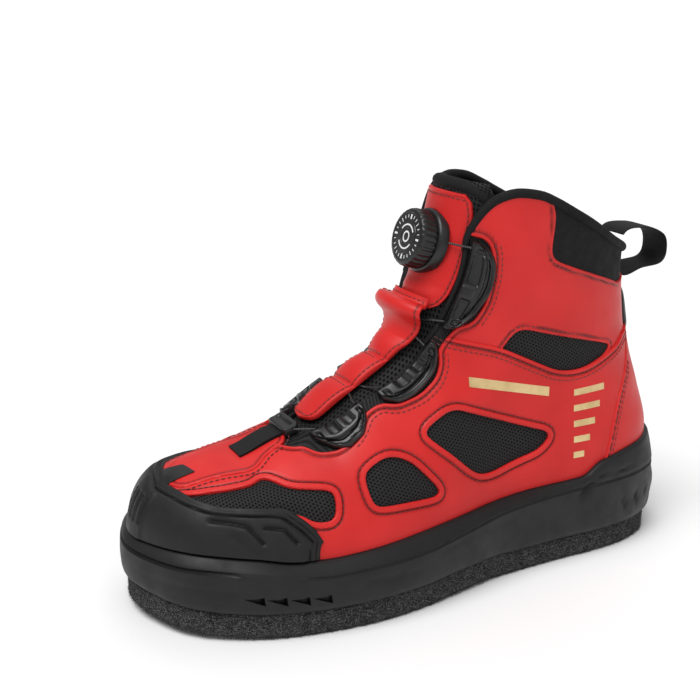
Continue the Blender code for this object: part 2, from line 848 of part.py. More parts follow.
def turned(name, profile, sides, material, centre, axis, ribs=0, rib_depth=0.0):
    """Solid of revolution from (radius, height) rows along an axis, with optional edge ribs."""
    axis = np.asarray(axis, float) / np.linalg.norm(axis)
    across = np.array([1.0, 0.0, 0.0])
    other = np.cross(axis, across)
    angle = 2 * np.pi * np.arange(sides) / sides
    ripple = 1 - rib_depth * (np.arange(sides) % 2) if ribs else np.ones(sides)
    vertices = []
    for radius, height in profile:
        ring = radius * ripple[:, None] * (across * np.cos(angle)[:, None]
                                           + other * np.sin(angle)[:, None])
        vertices.append(np.asarray(centre) + axis * height + ring)
    faces = [tuple(range(sides)), tuple(range(sides * (len(profile) - 1), sides * len(profile)))]
    for k in range(len(profile) - 1):
        faces += band_faces(sides, k * sides, (k + 1) * sides)
    return make_object(name, np.concatenate(vertices), faces, material)


def tread_outlines(grow):
    """Outlines of the rubber tread patches, grown by a clearance."""
    outlines = []
    rows = zip(*(TREADS[name] for name in
                 ("across", "along", "half_across", "half_along", "lobes", "depth", "turn")))
    for across, along, half_across, half_along, lobes, depth, turn in rows:
        angle = 2 * np.pi * np.arange(TREAD_POINTS) / TREAD_POINTS
        radius = 1 + depth * np.cos(lobes * (angle - math.radians(turn)))
        x = across * BALL_WIDTH / 2 + (half_across * BALL_WIDTH / 2 * radius + grow) * np.cos(angle)
        y = to_y(along) + (half_along * SOLE_LENGTH * radius + grow) * np.sin(angle)
        outlines.append(np.stack([x, y], 1))
    return outlines


def stud_centres():
    return np.stack([STUDS["across"] * BALL_WIDTH / 2, to_y(STUDS["along"])], 1)


def build_sole(felt, rubber, metal, footbed):
    """Felt, cup midsole with its bosses, studs and insole."""
    outsole = loft_loops("felt_outsole", [
        station_loop(0, lift),
        station_loop(0, felt_top),
    ], felt)
    treads = tread_outlines(0)
    wide_treads = tread_outlines(GAP)
    centres = stud_centres()
    seat = STUD_SEAT_DIAMETER / 2
    holes = [circle(c, seat + GAP, 14) for c in centres] + wide_treads
    cutter = prisms("felt_cutter", holes, [-CUT_PAST] * len(holes), [FOOT_FLOOR] * len(holes))
    combine(outsole, cutter, "DIFFERENCE")

    def platform(step):
        return lambda along: felt_top(along) + GAP + step

    def groove(step):
        return lambda along: groove_height(along) + step

    def rim(share):
        return lambda along: groove_height(along) + (rim_height(along) - groove_height(along)) * share

    loops = [
        station_loop(0, platform(0)),
        station_loop(-0.7 * MIDSOLE_OVERHANG, platform(0.7 * SOLE_BEVEL)),
        station_loop(-MIDSOLE_OVERHANG, platform(2 * SOLE_BEVEL)),
        station_loop(-MIDSOLE_OVERHANG, groove(-GROOVE_LIP)),
        station_loop(GROOVE_DEPTH - MIDSOLE_OVERHANG, groove(0)),
        station_loop(0.4 * MM - MIDSOLE_OVERHANG, groove(GROOVE_LIP)),
        station_loop(UPPER_INSET, rim(1), GAP + RIM_WALL),
        station_loop(UPPER_INSET, rim(1), GAP),
        station_loop(UPPER_INSET, rim(0.3), GAP),
        station_loop(UPPER_INSET, cup_floor, GAP),
    ]
    midsole = loft_loops("midsole", loops, rubber)
    bosses = [circle(c, seat, 15) for c in centres] + treads
    middles = list(STUDS["along"]) + list(TREADS["along"])
    recess = [STUD_RECESS] * len(centres) + [TREAD_RECESS] * len(treads)
    bottoms = [float(lift(a)) + r for a, r in zip(middles, recess)]
    tops = [float(felt_top(a)) + BOSS_RISE for a in middles]
    combine(midsole, prisms("boss_tool", bosses, bottoms, tops), "UNION")

    outline = plan(-MIDSOLE_OVERHANG)
    lateral = outline[outline[:, 0] > 0]
    lateral = lateral[lateral[:, 1].argsort()]
    vertices = []
    faces = []
    for along in NOTCHES["along"]:
        y = to_y(along)
        x = np.interp(y, lateral[:, 1], lateral[:, 0])
        z = float(felt_top(along)) + 0.5 * (groove_height(along) - felt_top(along))
        start = len(vertices)
        for depth in (-NOTCH_DEPTH, 3 * CUT_PAST):
            vertices += [(x + depth, y - NOTCH_LENGTH / 2, z - NOTCH_HEIGHT / 2),
                         (x + depth, y + NOTCH_LENGTH / 2, z - NOTCH_HEIGHT / 2),
                         (x + depth, y + NOTCH_LENGTH / 2, z + NOTCH_HEIGHT / 2)]
        faces += [(start, start + 1, start + 2), (start + 3, start + 4, start + 5)]
        faces += band_faces(3, start, start + 3)
    combine(midsole, make_object("notch_cutter", vertices, faces), "DIFFERENCE")

    head = STUD_HEAD_DIAMETER / 2
    tip = STUD_TIP_DIAMETER / 2
    reach = STUD_RECESS - GAP
    for k, (centre, along) in enumerate(zip(centres, STUDS["along"]), 1):
        profile = ((head, 0), (0.85 * head, STUD_HEAD_HEIGHT),
                   (tip, STUD_HEAD_HEIGHT + 0.1 * MM), (0.8 * tip, reach - 0.4 * MM))
        top = (*centre, float(lift(along)) + reach)
        turned(f"stud_{k:02d}", profile, 8, metal, top, (0, 0, -1))

    inset = UPPER_INSET + UPPER_WALL + 3 * GAP
    loft_loops("insole", [
        station_loop(inset, lambda along: cup_floor(along) + GAP),
        station_loop(inset, lambda along: cup_floor(along) + GAP + INSOLE_THICKNESS),
    ], footbed)


def top_edge():
    """Edge of the throat and the collar on the lateral side, from the throat's front to the back."""
    throat = front_point(THROAT["up"], THROAT["side"])
    collar = shaft_point(COLLAR["turn"], COLLAR["height"] * SHAFT_HEIGHT)
    edge = np.concatenate([throat, collar])
    reach = np.concatenate([[0], np.cumsum(np.linalg.norm(np.diff(edge, axis=0), axis=1))])
    return edge, reach / reach[-1]


def edge_at(share):
    """Smooth points on the top edge, at shares of its length, for the lateral side."""
    edge, reach = top_edge()
    return np.stack([smooth(reach, edge[:, k], share) for k in range(3)], 1)


def drape(bottom, top, rings, offset_out, offset_in):
    """Two grids of points between a level bottom row and a top row, outside and inside."""
    t = np.linspace(0, 1, rings + 1)[:, None, None] * np.pi / 2
    flat = top[None, :, :2] + (bottom - top)[None, :, :2] * np.cos(t)
    tall = bottom[None, :, 2:] + (top - bottom)[None, :, 2:] * np.sin(t)
    grid = np.concatenate([flat, tall], 2)
    grid[1:-1] = settle(grid[1:-1].reshape(-1, 3)).reshape(grid[1:-1].shape)
    steps = np.linalg.norm(np.diff(grid, axis=0), axis=2)
    reach = np.concatenate([np.zeros((1, grid.shape[1])), np.cumsum(steps, 0)])
    for column in range(grid.shape[1]):
        even = np.linspace(0, reach[-1, column], rings + 1)
        for k in range(3):
            grid[:, column, k] = np.interp(even, reach[:, column], grid[:, column, k].copy())
    grid[1:-1] = settle(grid[1:-1].reshape(-1, 3), rounds=3).reshape(grid[1:-1].shape)
    out = normals(grid.reshape(-1, 3)).reshape(grid.shape)
    outer = grid + out * offset_out
    inner = grid + out * offset_in
    outer[0] = settle(grid[0], offset_out, locked=2)
    inner[0] = settle(grid[0], offset_in, locked=2)
    return outer, inner


def window_cutter(name, rows, sign):
    """Cutter for a mesh window: it reaches from the window's floor in the wall to outside it."""
    top = side_point(rows["top_along"], rows["top_height"] * INSTEP_HEIGHT, sign)
    low = side_point(rows["low_along"], rows["low_height"] * INSTEP_HEIGHT, sign)
    share = np.linspace(0, 1, WINDOW_POINTS)[None, :, None]
    grid = top[:, None] + (low - top)[:, None] * share
    base = settle(grid.reshape(-1, 3))
    out = normals(base)
    outer = (base + out * 2 * MM).reshape(grid.shape)
    inner = (base - out * WINDOW_DEPTH).reshape(grid.shape)
    return grid_solid(name, outer, inner, None)


def build_upper(leather, rubber, cloth):
    """Shell of the upper, its windows, the toe cap, the collar roll, the pull loop and heel tab."""
    feather = station_loop(UPPER_INSET, lambda along: cup_floor(along) + GAP, 0.0)
    count = len(feather)
    half = count // 2
    share = smooth(RIBS["along"], RIBS["share"], to_along(feather[:half, 1]))
    share = (share - share[0]) / (share[-1] - share[0])
    share = 0.003 + share * 0.994
    lateral = edge_at(share)
    medial = lateral[::-1] * np.array([-1, 1, 1])
    top = np.concatenate([lateral, settle(medial, rounds=5)])
    outer, inner = drape(feather, top, RINGS, 0.0, -UPPER_WALL)
    upper = grid_solid("upper", outer, inner, leather, closed=True)
    windows = (("vamp", VAMP_WINDOW), ("ball", BALL_WINDOW), ("arch", ARCH_WINDOW),
               ("ankle", ANKLE_WINDOW))
    for name, rows in windows:
        for side, sign in (("lateral", 1), ("medial", -1)):
            combine(upper, window_cutter(f"{name}_{side}_cutter", rows, sign), "DIFFERENCE")

    rim = station_loop(UPPER_INSET, lambda along: rim_height(along) + GAP, 0.0)
    along = to_along(rim[:, 1])
    reach = TOE_CAP["bottom"][-1]
    on_lateral = [i for i in range(half) if along[i] <= reach]
    on_medial = [i for i in range(half, count) if along[i] <= reach]
    bottom = rim[on_medial + on_lateral]
    sign = np.array([-1] * len(on_medial) + [1] * len(on_lateral))
    place = to_along(bottom[:, 1])
    place = (place - place.min()) / (place.max() - place.min()) * reach
    across = smooth(TOE_CAP["bottom"], TOE_CAP["across"], place) * BALL_WIDTH / 2 * sign
    y = to_y(smooth(TOE_CAP["bottom"], TOE_CAP["along"], place))
    z = FOOT_FLOOR + smooth(TOE_CAP["bottom"], TOE_CAP["height"], place) * INSTEP_HEIGHT
    crest = settle(np.stack([across, y, z], 1))
    outer, inner = drape(bottom, crest, 6, SEAT + TOE_CAP_WALL, SEAT)
    grid_solid("toe_cap", outer, inner, rubber)

    lateral_turn = np.linspace(COLLAR_START, BACK, 18)
    turn = np.concatenate([lateral_turn, (2 * BACK - lateral_turn)[-2::-1]])
    height = smooth(COLLAR["turn"], COLLAR["height"], np.minimum(turn, 2 * BACK - turn)) * SHAFT_HEIGHT
    edge = shaft_point(turn, height)
    radius = BINDING_DIAMETER / 2
    path = edge - normals(edge) * UPPER_WALL / 2
    ahead = np.gradient(path, axis=0)
    away = np.cross(normals(edge), ahead)
    away /= np.linalg.norm(away, axis=1)[:, None]
    away *= np.sign(away[:, 2])[:, None]
    tube("collar_binding", path + away * (radius + 2 * GAP), radius, 7, cloth)

    seat = shaft_point([BACK, BACK], np.array(LOOP_SEATS) * SHAFT_HEIGHT)
    seat[:, 1] += GAP
    high, low = seat
    mid_z = (high[2] + low[2]) / 2
    tall = high[2] - low[2]
    upper_bends = [(high[1] + out * LOOP_REACH, high[2] + rise * tall)
                   for out, rise in zip(*LOOP_UPPER.values())]
    lower_bends = [(y + out * LOOP_REACH, low[2] + rise * tall)
                   for y, out, rise in zip((high[1], low[1]), *LOOP_LOWER.values())]
    corners = [(high[1], high[2]), *upper_bends, (high[1] + LOOP_REACH, mid_z), *lower_bends,
               (low[1], low[2])]
    line = closed_curve(corners, 3)[:19]
    ahead = np.gradient(line, axis=0)
    ahead /= np.linalg.norm(ahead, axis=1)[:, None]
    ahead[0] = ahead[-1] = 0
    side = np.stack([-ahead[:, 1], ahead[:, 0]], 1)
    side[0] = side[-1] = (0, 1)
    inward = np.ones(len(line))
    inward[-1] = -1
    grids = []
    for shift in (0, WEBBING):
        rows = []
        for x in (-LOOP_WIDTH / 2, LOOP_WIDTH / 2):
            moved = line + side * shift * inward[:, None]
            rows.append(np.column_stack([np.full(len(line), x), moved]))
        grids.append(np.stack(rows, 1))
    grid_solid("pull_loop", grids[0], grids[1], cloth)

    edge = closed_curve(np.stack([HEEL_TAB["turn"], HEEL_TAB["height"]], 1), 2)
    patch("heel_tab", shaft_point(BACK - edge[:, 0], edge[:, 1] * SHAFT_HEIGHT),
          SEAT + GAP, SEAT + GAP + LEATHER, rubber, rings=2)


def build_front(leather, cloth, plastic, lace):
    """Tongue, plate, strip, webbing, lace guides, laces and dial."""
    tongue_top = -UPPER_WALL - 2 * SEAT
    # The tongue lies deeper up the shaft, where the collar roll passes over it
    sunk = dict(TONGUE)
    sunk["rise"] = -ease(0.55, 0.68, TONGUE["up"]) * TONGUE_DROP / FOLD_HEIGHT
    front_band("tongue", sunk, tongue_top - TONGUE_WALL, tongue_top, cloth, columns=9, more=4)
    plate_low = tongue_top - TONGUE_DROP + SEAT
    plate_high = plate_low + LEATHER
    front_band("tongue_plate", TONGUE_PLATE, plate_low, plate_high, leather, columns=9, more=4)

    radius = LACE_DIAMETER / 2
    lace_middle = tongue_top + 2 * GAP + radius
    strip_low = lace_middle + radius + 1.5 * SEAT
    front_band("tongue_strip", TONGUE_STRIP, strip_low, strip_low + LEATHER, leather, columns=5,
               more=5)
    front_band("front_webbing", FRONT_WEBBING, GAP, GAP + WEBBING, cloth, columns=3, more=5)
    block_low = 2 * GAP + WEBBING
    front_band("guide_front", GUIDE_FRONT, block_low, block_low + GUIDE_HEIGHT, plastic, columns=4)
    for name, rows in (("low", GUIDE_LOW), ("mid", GUIDE_MID), ("high", GUIDE_HIGH)):
        for side in ("lateral", "medial"):
            front_band(f"guide_{name}_{side}", rows, SEAT, SEAT + GUIDE_HEIGHT, plastic,
                       columns=4, mirrored=side == "medial", more=1)

    end_height = SEAT + GUIDE_HEIGHT / 2

    def run(start, end, sign, low, points=11):
        """Lace from one side of the throat to the other, high at the guides and low between."""
        share = np.linspace(0, 1, points)
        up = start[0] + (end[0] - start[0]) * share
        side = sign * (start[1] + (-end[1] - start[1]) * share)
        drop = np.minimum(1, 1.6 * (1 - (2 * share - 1)**2))
        offset = end_height + (low - end_height) * drop
        return front_point(up, side, offset)

    for name, (start, end) in (("high", LACE_HIGH), ("low", LACE_LOW)):
        crossing = tube(f"lace_crossing_{name}", run(start, end, 1, lace_middle), radius, 6, lace)
        other = tube(f"lace_{name}_tool", run(start, end, -1, lace_middle + 0.4 * radius), radius, 7)
        combine(crossing, other, "UNION")

    for side, sign in (("lateral", 1), ("medial", -1)):
        (up_a, side_a), (up_b, side_b) = LACE_FRONT
        share = np.linspace(0, 1, 5)
        up = up_a + (up_b - up_a) * share
        way = sign * (side_a + (side_b - side_a) * share)
        offset = end_height + (block_low + GUIDE_HEIGHT / 2 - end_height) * share
        tube(f"lace_front_{side}", front_point(up, way, offset), radius, 6, lace)
        (up_a, side_a), (up_b, side_b) = LACE_DIAL
        up = up_a + (up_b - up_a) * share
        way = sign * (side_a + (side_b - side_a) * share)
        near = plate_high + GAP + radius
        tube(f"lace_dial_{side}", front_point(up, way, near + (end_height - near) * share), radius,
             6, lace)

    seat = front_point([DIAL_UP], [0.0], plate_high)[0]
    axis = normals(front_point([DIAL_UP], [0.0]))[0]
    across = np.array([1.0, 0.0, 0.0])
    other = np.cross(axis, across)
    sides = 28
    angle = 2 * np.pi * np.arange(sides) / sides
    ring = across * np.cos(angle)[:, None] + other * np.sin(angle)[:, None]
    top = seat + axis * DIAL_BASE_HEIGHT
    rows = [top + ring * DIAL_BASE_DIAMETER / 2]
    for share in (1.0, 0.78, 0.52, 0.26):
        base = settle(seat + ring * DIAL_BASE_DIAMETER / 2 * share)
        rows.append(base + normals(base) * (plate_high + 1.5 * GAP))
    centre = seat + axis * 1.5 * GAP
    vertices = np.concatenate(rows + [centre[None]])
    last = sides * (len(rows) - 1)
    faces = [tuple(range(sides))]
    for k in range(len(rows) - 1):
        faces += band_faces(sides, k * sides, (k + 1) * sides)
    faces += [(last + i, last + (i + 1) % sides, len(vertices) - 1) for i in range(sides)]
    make_object("dial_base", vertices, faces, plastic)
    knob = DIAL_DIAMETER / 2
    edge = KNOB_BEVEL
    turned("dial_knob", ((knob, 0), (knob, DIAL_KNOB_HEIGHT - edge), (knob - edge, DIAL_KNOB_HEIGHT)),
           48, plastic, top + axis * GAP, axis, ribs=24, rib_depth=0.035)


def main():
    for piece in list(bpy.data.objects):
        bpy.data.objects.remove(piece, do_unlink=True)
    felt = make_material("felt", (0.075, 0.072, 0.07), 0.95)
    rubber = make_material("black_rubber", (0.028, 0.028, 0.03), 0.55)
    metal = make_material("stud_metal", (0.55, 0.55, 0.56), 0.35, 1.0)
    footbed = make_material("footbed_foam", (0.05, 0.05, 0.055), 0.9)
    leather = make_material("red_leather", (0.62, 0.05, 0.045), 0.5)
    cloth = make_material("black_cloth", (0.02, 0.02, 0.022), 0.85)
    plastic = make_material("black_plastic", (0.025, 0.025, 0.027), 0.4)
    lace = make_material("lace_cable", (0.06, 0.06, 0.065), 0.4)
    build_sole(felt, rubber, metal, footbed)
    build_upper(leather, rubber, cloth)
    build_front(leather, cloth, plastic, lace)

    # Put the origin under the middle of the boot
    corners = np.array([v.co[:] for piece in bpy.data.objects if not piece.hide_render
                        for v in piece.data.vertices])
    low, high = corners.min(0), corners.max(0)
    for piece in bpy.data.objects:
        piece.location = (-(low[0] + high[0]) / 2, -(low[1] + high[1]) / 2, -low[2])


main()
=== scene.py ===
"""Looks of the left wading boot: its detailed pieces, materials, light, floor and camera.

Metres, +Z up, toe to -Y, heel to +Y, outer side of the foot to +X. The shapes are worked out on
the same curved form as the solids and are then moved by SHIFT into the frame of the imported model.
"""
import math

import bmesh
import bpy
import numpy as np
from mathutils import Matrix, Vector


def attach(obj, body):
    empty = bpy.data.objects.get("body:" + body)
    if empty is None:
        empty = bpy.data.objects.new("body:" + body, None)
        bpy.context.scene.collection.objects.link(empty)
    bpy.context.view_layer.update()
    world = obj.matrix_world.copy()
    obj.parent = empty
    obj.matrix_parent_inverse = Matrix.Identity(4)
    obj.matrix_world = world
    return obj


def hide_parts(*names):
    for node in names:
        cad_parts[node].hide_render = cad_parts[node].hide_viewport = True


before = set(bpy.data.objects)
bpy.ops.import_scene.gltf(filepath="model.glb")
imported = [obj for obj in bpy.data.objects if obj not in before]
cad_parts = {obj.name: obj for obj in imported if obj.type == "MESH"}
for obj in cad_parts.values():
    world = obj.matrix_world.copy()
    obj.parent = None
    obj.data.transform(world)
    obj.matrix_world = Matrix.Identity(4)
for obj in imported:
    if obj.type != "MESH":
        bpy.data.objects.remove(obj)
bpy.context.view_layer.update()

MM = 0.001
SHIFT = np.array([-0.118, -1.515, 0.0]) * MM
RED_LIGHT = (0.60, 0.020, 0.018)
# Painted shade: the dark red that the leather is blended towards in its sewn grooves
RED_GROOVE_SHADE = (0.11, 0.004, 0.004)

# Sizes shared with the solids
SOLE_LENGTH = 305 * MM
BALL_WIDTH = 118 * MM
HEEL_WIDTH = 88.5 * MM
INSTEP_HEIGHT = 100 * MM
SHAFT_HEIGHT = 186 * MM
FELT_THICKNESS = 12.5 * MM
FOOT_FLOOR = 26 * MM
HEEL_LIFT = 5 * MM
TOE_SPRING = 5 * MM
HEEL_SPRING = 1.5 * MM
ARCH_RAISE = 1.2 * MM
RIM_HEIGHT = 12 * MM
RIM_WALL = 2.6 * MM
OVERHANG = 3 * MM
UPPER_INSET = 4 * MM
UPPER_WALL = 2.4 * MM
GAP = 0.3 * MM
SEAT = 2 * GAP
WRAP_RADIUS = 30 * MM
SHAFT_POWER = 2.2
ANKLE_BLEND = 12 * MM
SHAFT_AXIS = 0.70
FRONT_SPAN = 12 * MM
FRONT_CAST = (4 * MM, 75 * MM)


def table(columns, *rows):
    """Name the columns of a short table of rows."""
    return {name: np.array(values, float) for name, values in zip(columns.split(), zip(*rows))}


def unit(vectors):
    """Vectors of length 1 in the same directions."""
    return vectors / np.linalg.norm(vectors, axis=-1, keepdims=True)


def walked(line):
    """Distance from a line's start to each of its points, along the line."""
    return np.concatenate([[0], np.cumsum(np.linalg.norm(np.diff(line, axis=0), axis=1))])


def read_line(line, reach, distance):
    """Points of a line at distances from its start."""
    return np.stack([np.interp(distance, reach, row) for row in line.T], -1)


def from_segment(points, start, end):
    """Share of a segment's length nearest to each point, and the way from there to the point."""
    edge = end - start
    reach = points - start
    share = np.clip(reach @ edge / (edge @ edge), 0, 1)
    return share, reach - share[:, None] * edge


def line_gap(points, line):
    """Distance from points to an open line."""
    gaps = [from_segment(points, start, end)[1] for start, end in zip(line[:-1], line[1:])]
    return np.minimum.reduce([np.linalg.norm(gap, axis=1) for gap in gaps])


def bell(x, centre, wide, power=2):
    """1 at the centre, falling off to both sides over the width."""
    return np.exp(-((x - centre) / wide)**power)


def plateau(x, rise_from, rise_to, fall_from, fall_to):
    """1 on a stretch, with soft ends."""
    return ease(rise_from, rise_to, x) * (1 - ease(fall_from, fall_to, x))


def circle_turns(count):
    """Angles of points an even step apart round a circle."""
    return 2 * np.pi * np.arange(count) / count


SOLE_PLAN = table(
    "along lateral medial",
    (0.018, 0.25, 0.46), (0.055, 0.56, 0.70), (0.12, 0.78, 0.87), (0.20, 0.92, 0.96),
    (0.31, 1.00, 1.00), (0.40, 0.985, 0.96), (0.50, 0.917, 0.825), (0.60, 0.903, 0.834),
    (0.72, 0.991, 0.991), (0.82, 0.993, 0.993), (0.90, 0.893, 0.893), (0.96, 0.627, 0.627))
RIDGE = table(
    "along height",
    (0.00, 0.457), (0.08, 0.457), (0.17, 0.495), (0.23, 0.556), (0.30, 0.630), (0.36, 0.762),
    (0.43, 0.910), (0.47, 1.000), (0.50, 1.076), (0.56, 1.139), (0.70, 0.885), (0.83, 0.673),
    (1.00, 0.334))
DOME = table(
    "along power round",
    (0.00, 3.4, 0.80), (0.12, 2.8, 0.83), (0.22, 2.15, 0.87), (0.31, 2.0, 0.92),
    (0.45, 1.8, 0.84), (0.60, 1.8, 0.70), (1.00, 2.0, 0.68))
SHAFT = table(
    "height back front width",
    (0.000, 0.985, 0.630, 0.907), (0.180, 0.984, 0.600, 0.920), (0.316, 0.962, 0.550, 0.873),
    (0.430, 0.940, 0.490, 0.827), (0.533, 0.926, 0.476, 0.800), (0.635, 0.918, 0.482, 0.800),
    (0.749, 0.916, 0.506, 0.813), (0.852, 0.917, 0.523, 0.827), (1.000, 0.917, 0.540, 0.840))
SIDE = table(
    "along groove rim",
    (0.00, 0.87, 1.17), (0.06, 0.91, 1.40), (0.14, 0.78, 1.25), (0.20, 0.52, 1.00),
    (0.26, 0.38, 0.93), (0.34, 0.46, 1.03), (0.43, 0.56, 1.18), (0.51, 0.80, 1.30),
    (0.60, 1.05, 1.42), (0.70, 1.20, 1.54), (0.77, 1.25, 1.66), (0.81, 1.27, 2.20),
    (0.88, 1.29, 2.50), (1.00, 1.30, 2.58))
FRONT = table(
    "along height",
    (0.100, 0.258), (0.170, 0.269), (0.230, 0.301), (0.300, 0.339), (0.360, 0.409),
    (0.430, 0.489), (0.465, 0.543), (0.478, 0.602), (0.485, 0.667), (0.500, 0.737),
    (0.520, 0.828), (0.535, 0.935), (0.540, 1.000))
THROAT = table(
    "up side",
    (0.250, 0.00), (0.256, 0.23), (0.270, 0.38), (0.320, 0.50), (0.380, 0.58), (0.440, 0.65),
    (0.520, 0.70), (0.600, 0.80), (0.640, 0.88), (0.700, 0.95), (0.760, 0.965), (0.820, 0.94))
COLLAR = table(
    "turn height",
    (28, 0.800), (34, 0.868), (44, 0.911), (57, 0.925), (72, 0.918), (90, 0.892), (105, 0.864),
    (120, 0.833), (146, 0.763), (165, 0.722), (180, 0.707))
RIBS = table(
    "along share",
    (0.00, 0.00), (0.08, 0.02), (0.16, 0.05), (0.22, 0.09), (0.28, 0.15), (0.35, 0.24),
    (0.42, 0.33), (0.50, 0.43), (0.58, 0.53), (0.66, 0.62), (0.75, 0.73), (0.88, 0.87),
    (1.00, 1.00))
TOE_CAP = table(
    "bottom across along height",
    (0.000, 0.00, 0.055, 0.425), (0.030, 0.37, 0.082, 0.403), (0.070, 0.53, 0.113, 0.386),
    (0.120, 0.645, 0.158, 0.378), (0.170, 0.712, 0.198, 0.370), (0.200, 0.78, 0.218, 0.327),
    (0.225, 0.86, 0.239, 0.264), (0.245, 0.907, 0.250, 0.200))
TONGUE = table(
    "up left right rise",
    (0.190, -0.33, 0.33, 0), (0.230, -0.56, 0.56, 0), (0.300, -0.73, 0.73, 0),
    (0.420, -0.88, 0.88, 0), (0.540, -1.00, 1.00, 0), (0.660, -1.22, 1.22, 0),
    (0.800, -1.32, 1.32, 0), (0.930, -1.25, 1.25, 0), (0.972, -1.05, 1.05, 0))
TONGUE_PLATE = table(
    "up left right rise",
    (0.668, -0.58, 0.58, 0), (0.685, -0.76, 0.76, 0), (0.720, -0.87, 0.87, 0),
    (0.800, -0.90, 0.90, 0), (0.880, -0.89, 0.89, 0), (0.920, -0.82, 0.82, 0),
    (0.940, -0.66, 0.66, 0))
TONGUE_STRIP = table(
    "up left right rise",
    (0.285, -0.27, 0.10, 0), (0.297, -0.42, 0.22, 0), (0.360, -0.42, 0.28, 0),
    (0.420, -0.42, 0.33, 0), (0.500, -0.42, 0.36, 0), (0.550, -0.45, 0.42, 0.02),
    (0.585, -0.52, 0.54, 0.06), (0.615, -0.58, 0.60, 0.20), (0.638, -0.60, 0.60, 0.62),
    (0.652, -0.58, 0.58, 1.00))
FRONT_WEBBING = table(
    "up left right rise",
    (0.105, -0.22, 0.22, 0), (0.245, -0.22, 0.22, 0))
GUIDE_FRONT = table(
    "up left right rise",
    (0.218, -0.24, 0.24, 0), (0.226, -0.30, 0.30, 0), (0.252, -0.30, 0.30, 0),
    (0.260, -0.24, 0.24, 0))
GUIDE_LOW = table(
    "up left right rise",
    (0.268, 0.51, 0.66, 0), (0.290, 0.55, 0.90, 0), (0.320, 0.59, 1.02, 0),
    (0.350, 0.62, 1.02, 0), (0.380, 0.65, 0.92, 0), (0.398, 0.67, 0.80, 0))
GUIDE_MID = table(
    "up left right rise",
    (0.445, 0.71, 0.86, 0), (0.470, 0.73, 1.05, 0), (0.510, 0.75, 1.13, 0),
    (0.550, 0.78, 1.15, 0), (0.585, 0.82, 1.07, 0), (0.605, 0.85, 0.96, 0))
GUIDE_HIGH = table(
    "up left right rise",
    (0.640, 0.93, 1.06, 0), (0.660, 0.98, 1.26, 0), (0.700, 1.00, 1.42, 0),
    (0.760, 1.005, 1.50, 0), (0.800, 1.00, 1.46, 0), (0.830, 0.985, 1.32, 0),
    (0.845, 0.97, 1.12, 0))
DIAL_UP = 0.815
LACE_HIGH = ((0.655, 0.925), (0.592, 0.79))
LACE_LOW = ((0.457, 0.685), (0.388, 0.62))
LACE_FRONT = ((0.283, 0.495), (0.243, 0.325))
LACE_DIAL = ((0.825, 0.60), (0.830, 0.945))
STUDS = table(
    "across along",
    (0.49, 0.202), (0.12, 0.087), (-0.36, 0.087), (-0.58, 0.228), (0.59, 0.326), (0.54, 0.438),
    (-0.56, 0.369), (0.32, 0.648), (-0.34, 0.645), (0.24, 0.785), (-0.39, 0.720))
TREADS = table(
    "across along half_across half_along lobes depth turn",
    (-0.12, 0.192, 0.30, 0.050, 3, 0.26, 90), (0.00, 0.408, 0.33, 0.042, 2, 0.22, 20),
    (0.12, 0.716, 0.23, 0.033, 3, 0.14, 40), (-0.22, 0.800, 0.14, 0.028, 4, 0.08, 0),
    (0.02, 0.897, 0.33, 0.044, 2, 0.08, 0))


# The form that the boot is shaped on
def smooth(xs, ys, x):
    """Read a smooth curve through the points of a table that never overshoots them."""
    slope = np.diff(ys) / np.diff(xs)
    tangent = np.empty_like(ys)
    tangent[0], tangent[-1] = slope[0], slope[-1]
    product = slope[:-1] * slope[1:]
    total = slope[:-1] + slope[1:]
    tangent[1:-1] = np.where(product > 0, 2 * product / np.where(total == 0, 1, total), 0)
    x = np.clip(x, xs[0], xs[-1])
    i = np.clip(np.searchsorted(xs, x) - 1, 0, len(xs) - 2)
    step = xs[i + 1] - xs[i]
    t = (x - xs[i]) / step
    return ((2 * t**3 - 3 * t**2 + 1) * ys[i] + (t**3 - 2 * t**2 + t) * step * tangent[i]
            + (3 * t**2 - 2 * t**3) * ys[i + 1] + (t**3 - t**2) * step * tangent[i + 1])


def spline(a, b, c, d, t):
    """Point of a smooth curve through four points, a share t of the way from b to c."""
    return 0.5 * (2 * b + (c - a) * t + (2 * a - 5 * b + 4 * c - d) * t**2
                  + (3 * b - 3 * c + d - a) * t**3)


def closed_curve(points, per_span=8):
    """Run a smooth closed curve through points."""
    points = np.asarray(points, float)
    t = np.arange(per_span)[:, None] / per_span
    return np.concatenate([spline(*(points[(i + k) % len(points)] for k in (-1, 0, 1, 2)), t)
                           for i in range(len(points))])


def ease(low, high, x):
    """Step softly from 0 to 1 as x goes from low to high."""
    t = np.clip((np.asarray(x, float) - low) / (high - low), 0, 1)
    return t * t * (3 - 2 * t)


def to_y(along):
    """Turn a place along the sole, 0 at the toe and 1 at the heel, into y."""
    return (np.asarray(along, float) - 0.5) * SOLE_LENGTH


def to_along(y):
    """Turn y into a place along the sole."""
    return y / SOLE_LENGTH + 0.5


def half_width(along):
    """Half the width that the plan's shares refer to, from the ball's to the heel's."""
    return (BALL_WIDTH + (HEEL_WIDTH - BALL_WIDTH) * ease(0.45, 0.75, along)) / 2


def plan(inset):
    """Outline of the sole, seen from above, moved inward by inset."""
    along = SOLE_PLAN["along"]
    y = to_y(along)
    lateral = np.stack([SOLE_PLAN["lateral"] * half_width(along), y], 1)
    medial = np.stack([-SOLE_PLAN["medial"] * half_width(along), y], 1)
    tip = [(-0.10 * BALL_WIDTH / 2, to_y(0))]
    heel = [(0, to_y(1))]
    curve = closed_curve(np.concatenate([tip, lateral, heel, medial[::-1]]))
    ahead = np.roll(curve, -1, 0) - np.roll(curve, 1, 0)
    return curve - unit(np.stack([ahead[:, 1], -ahead[:, 0]], 1)) * inset


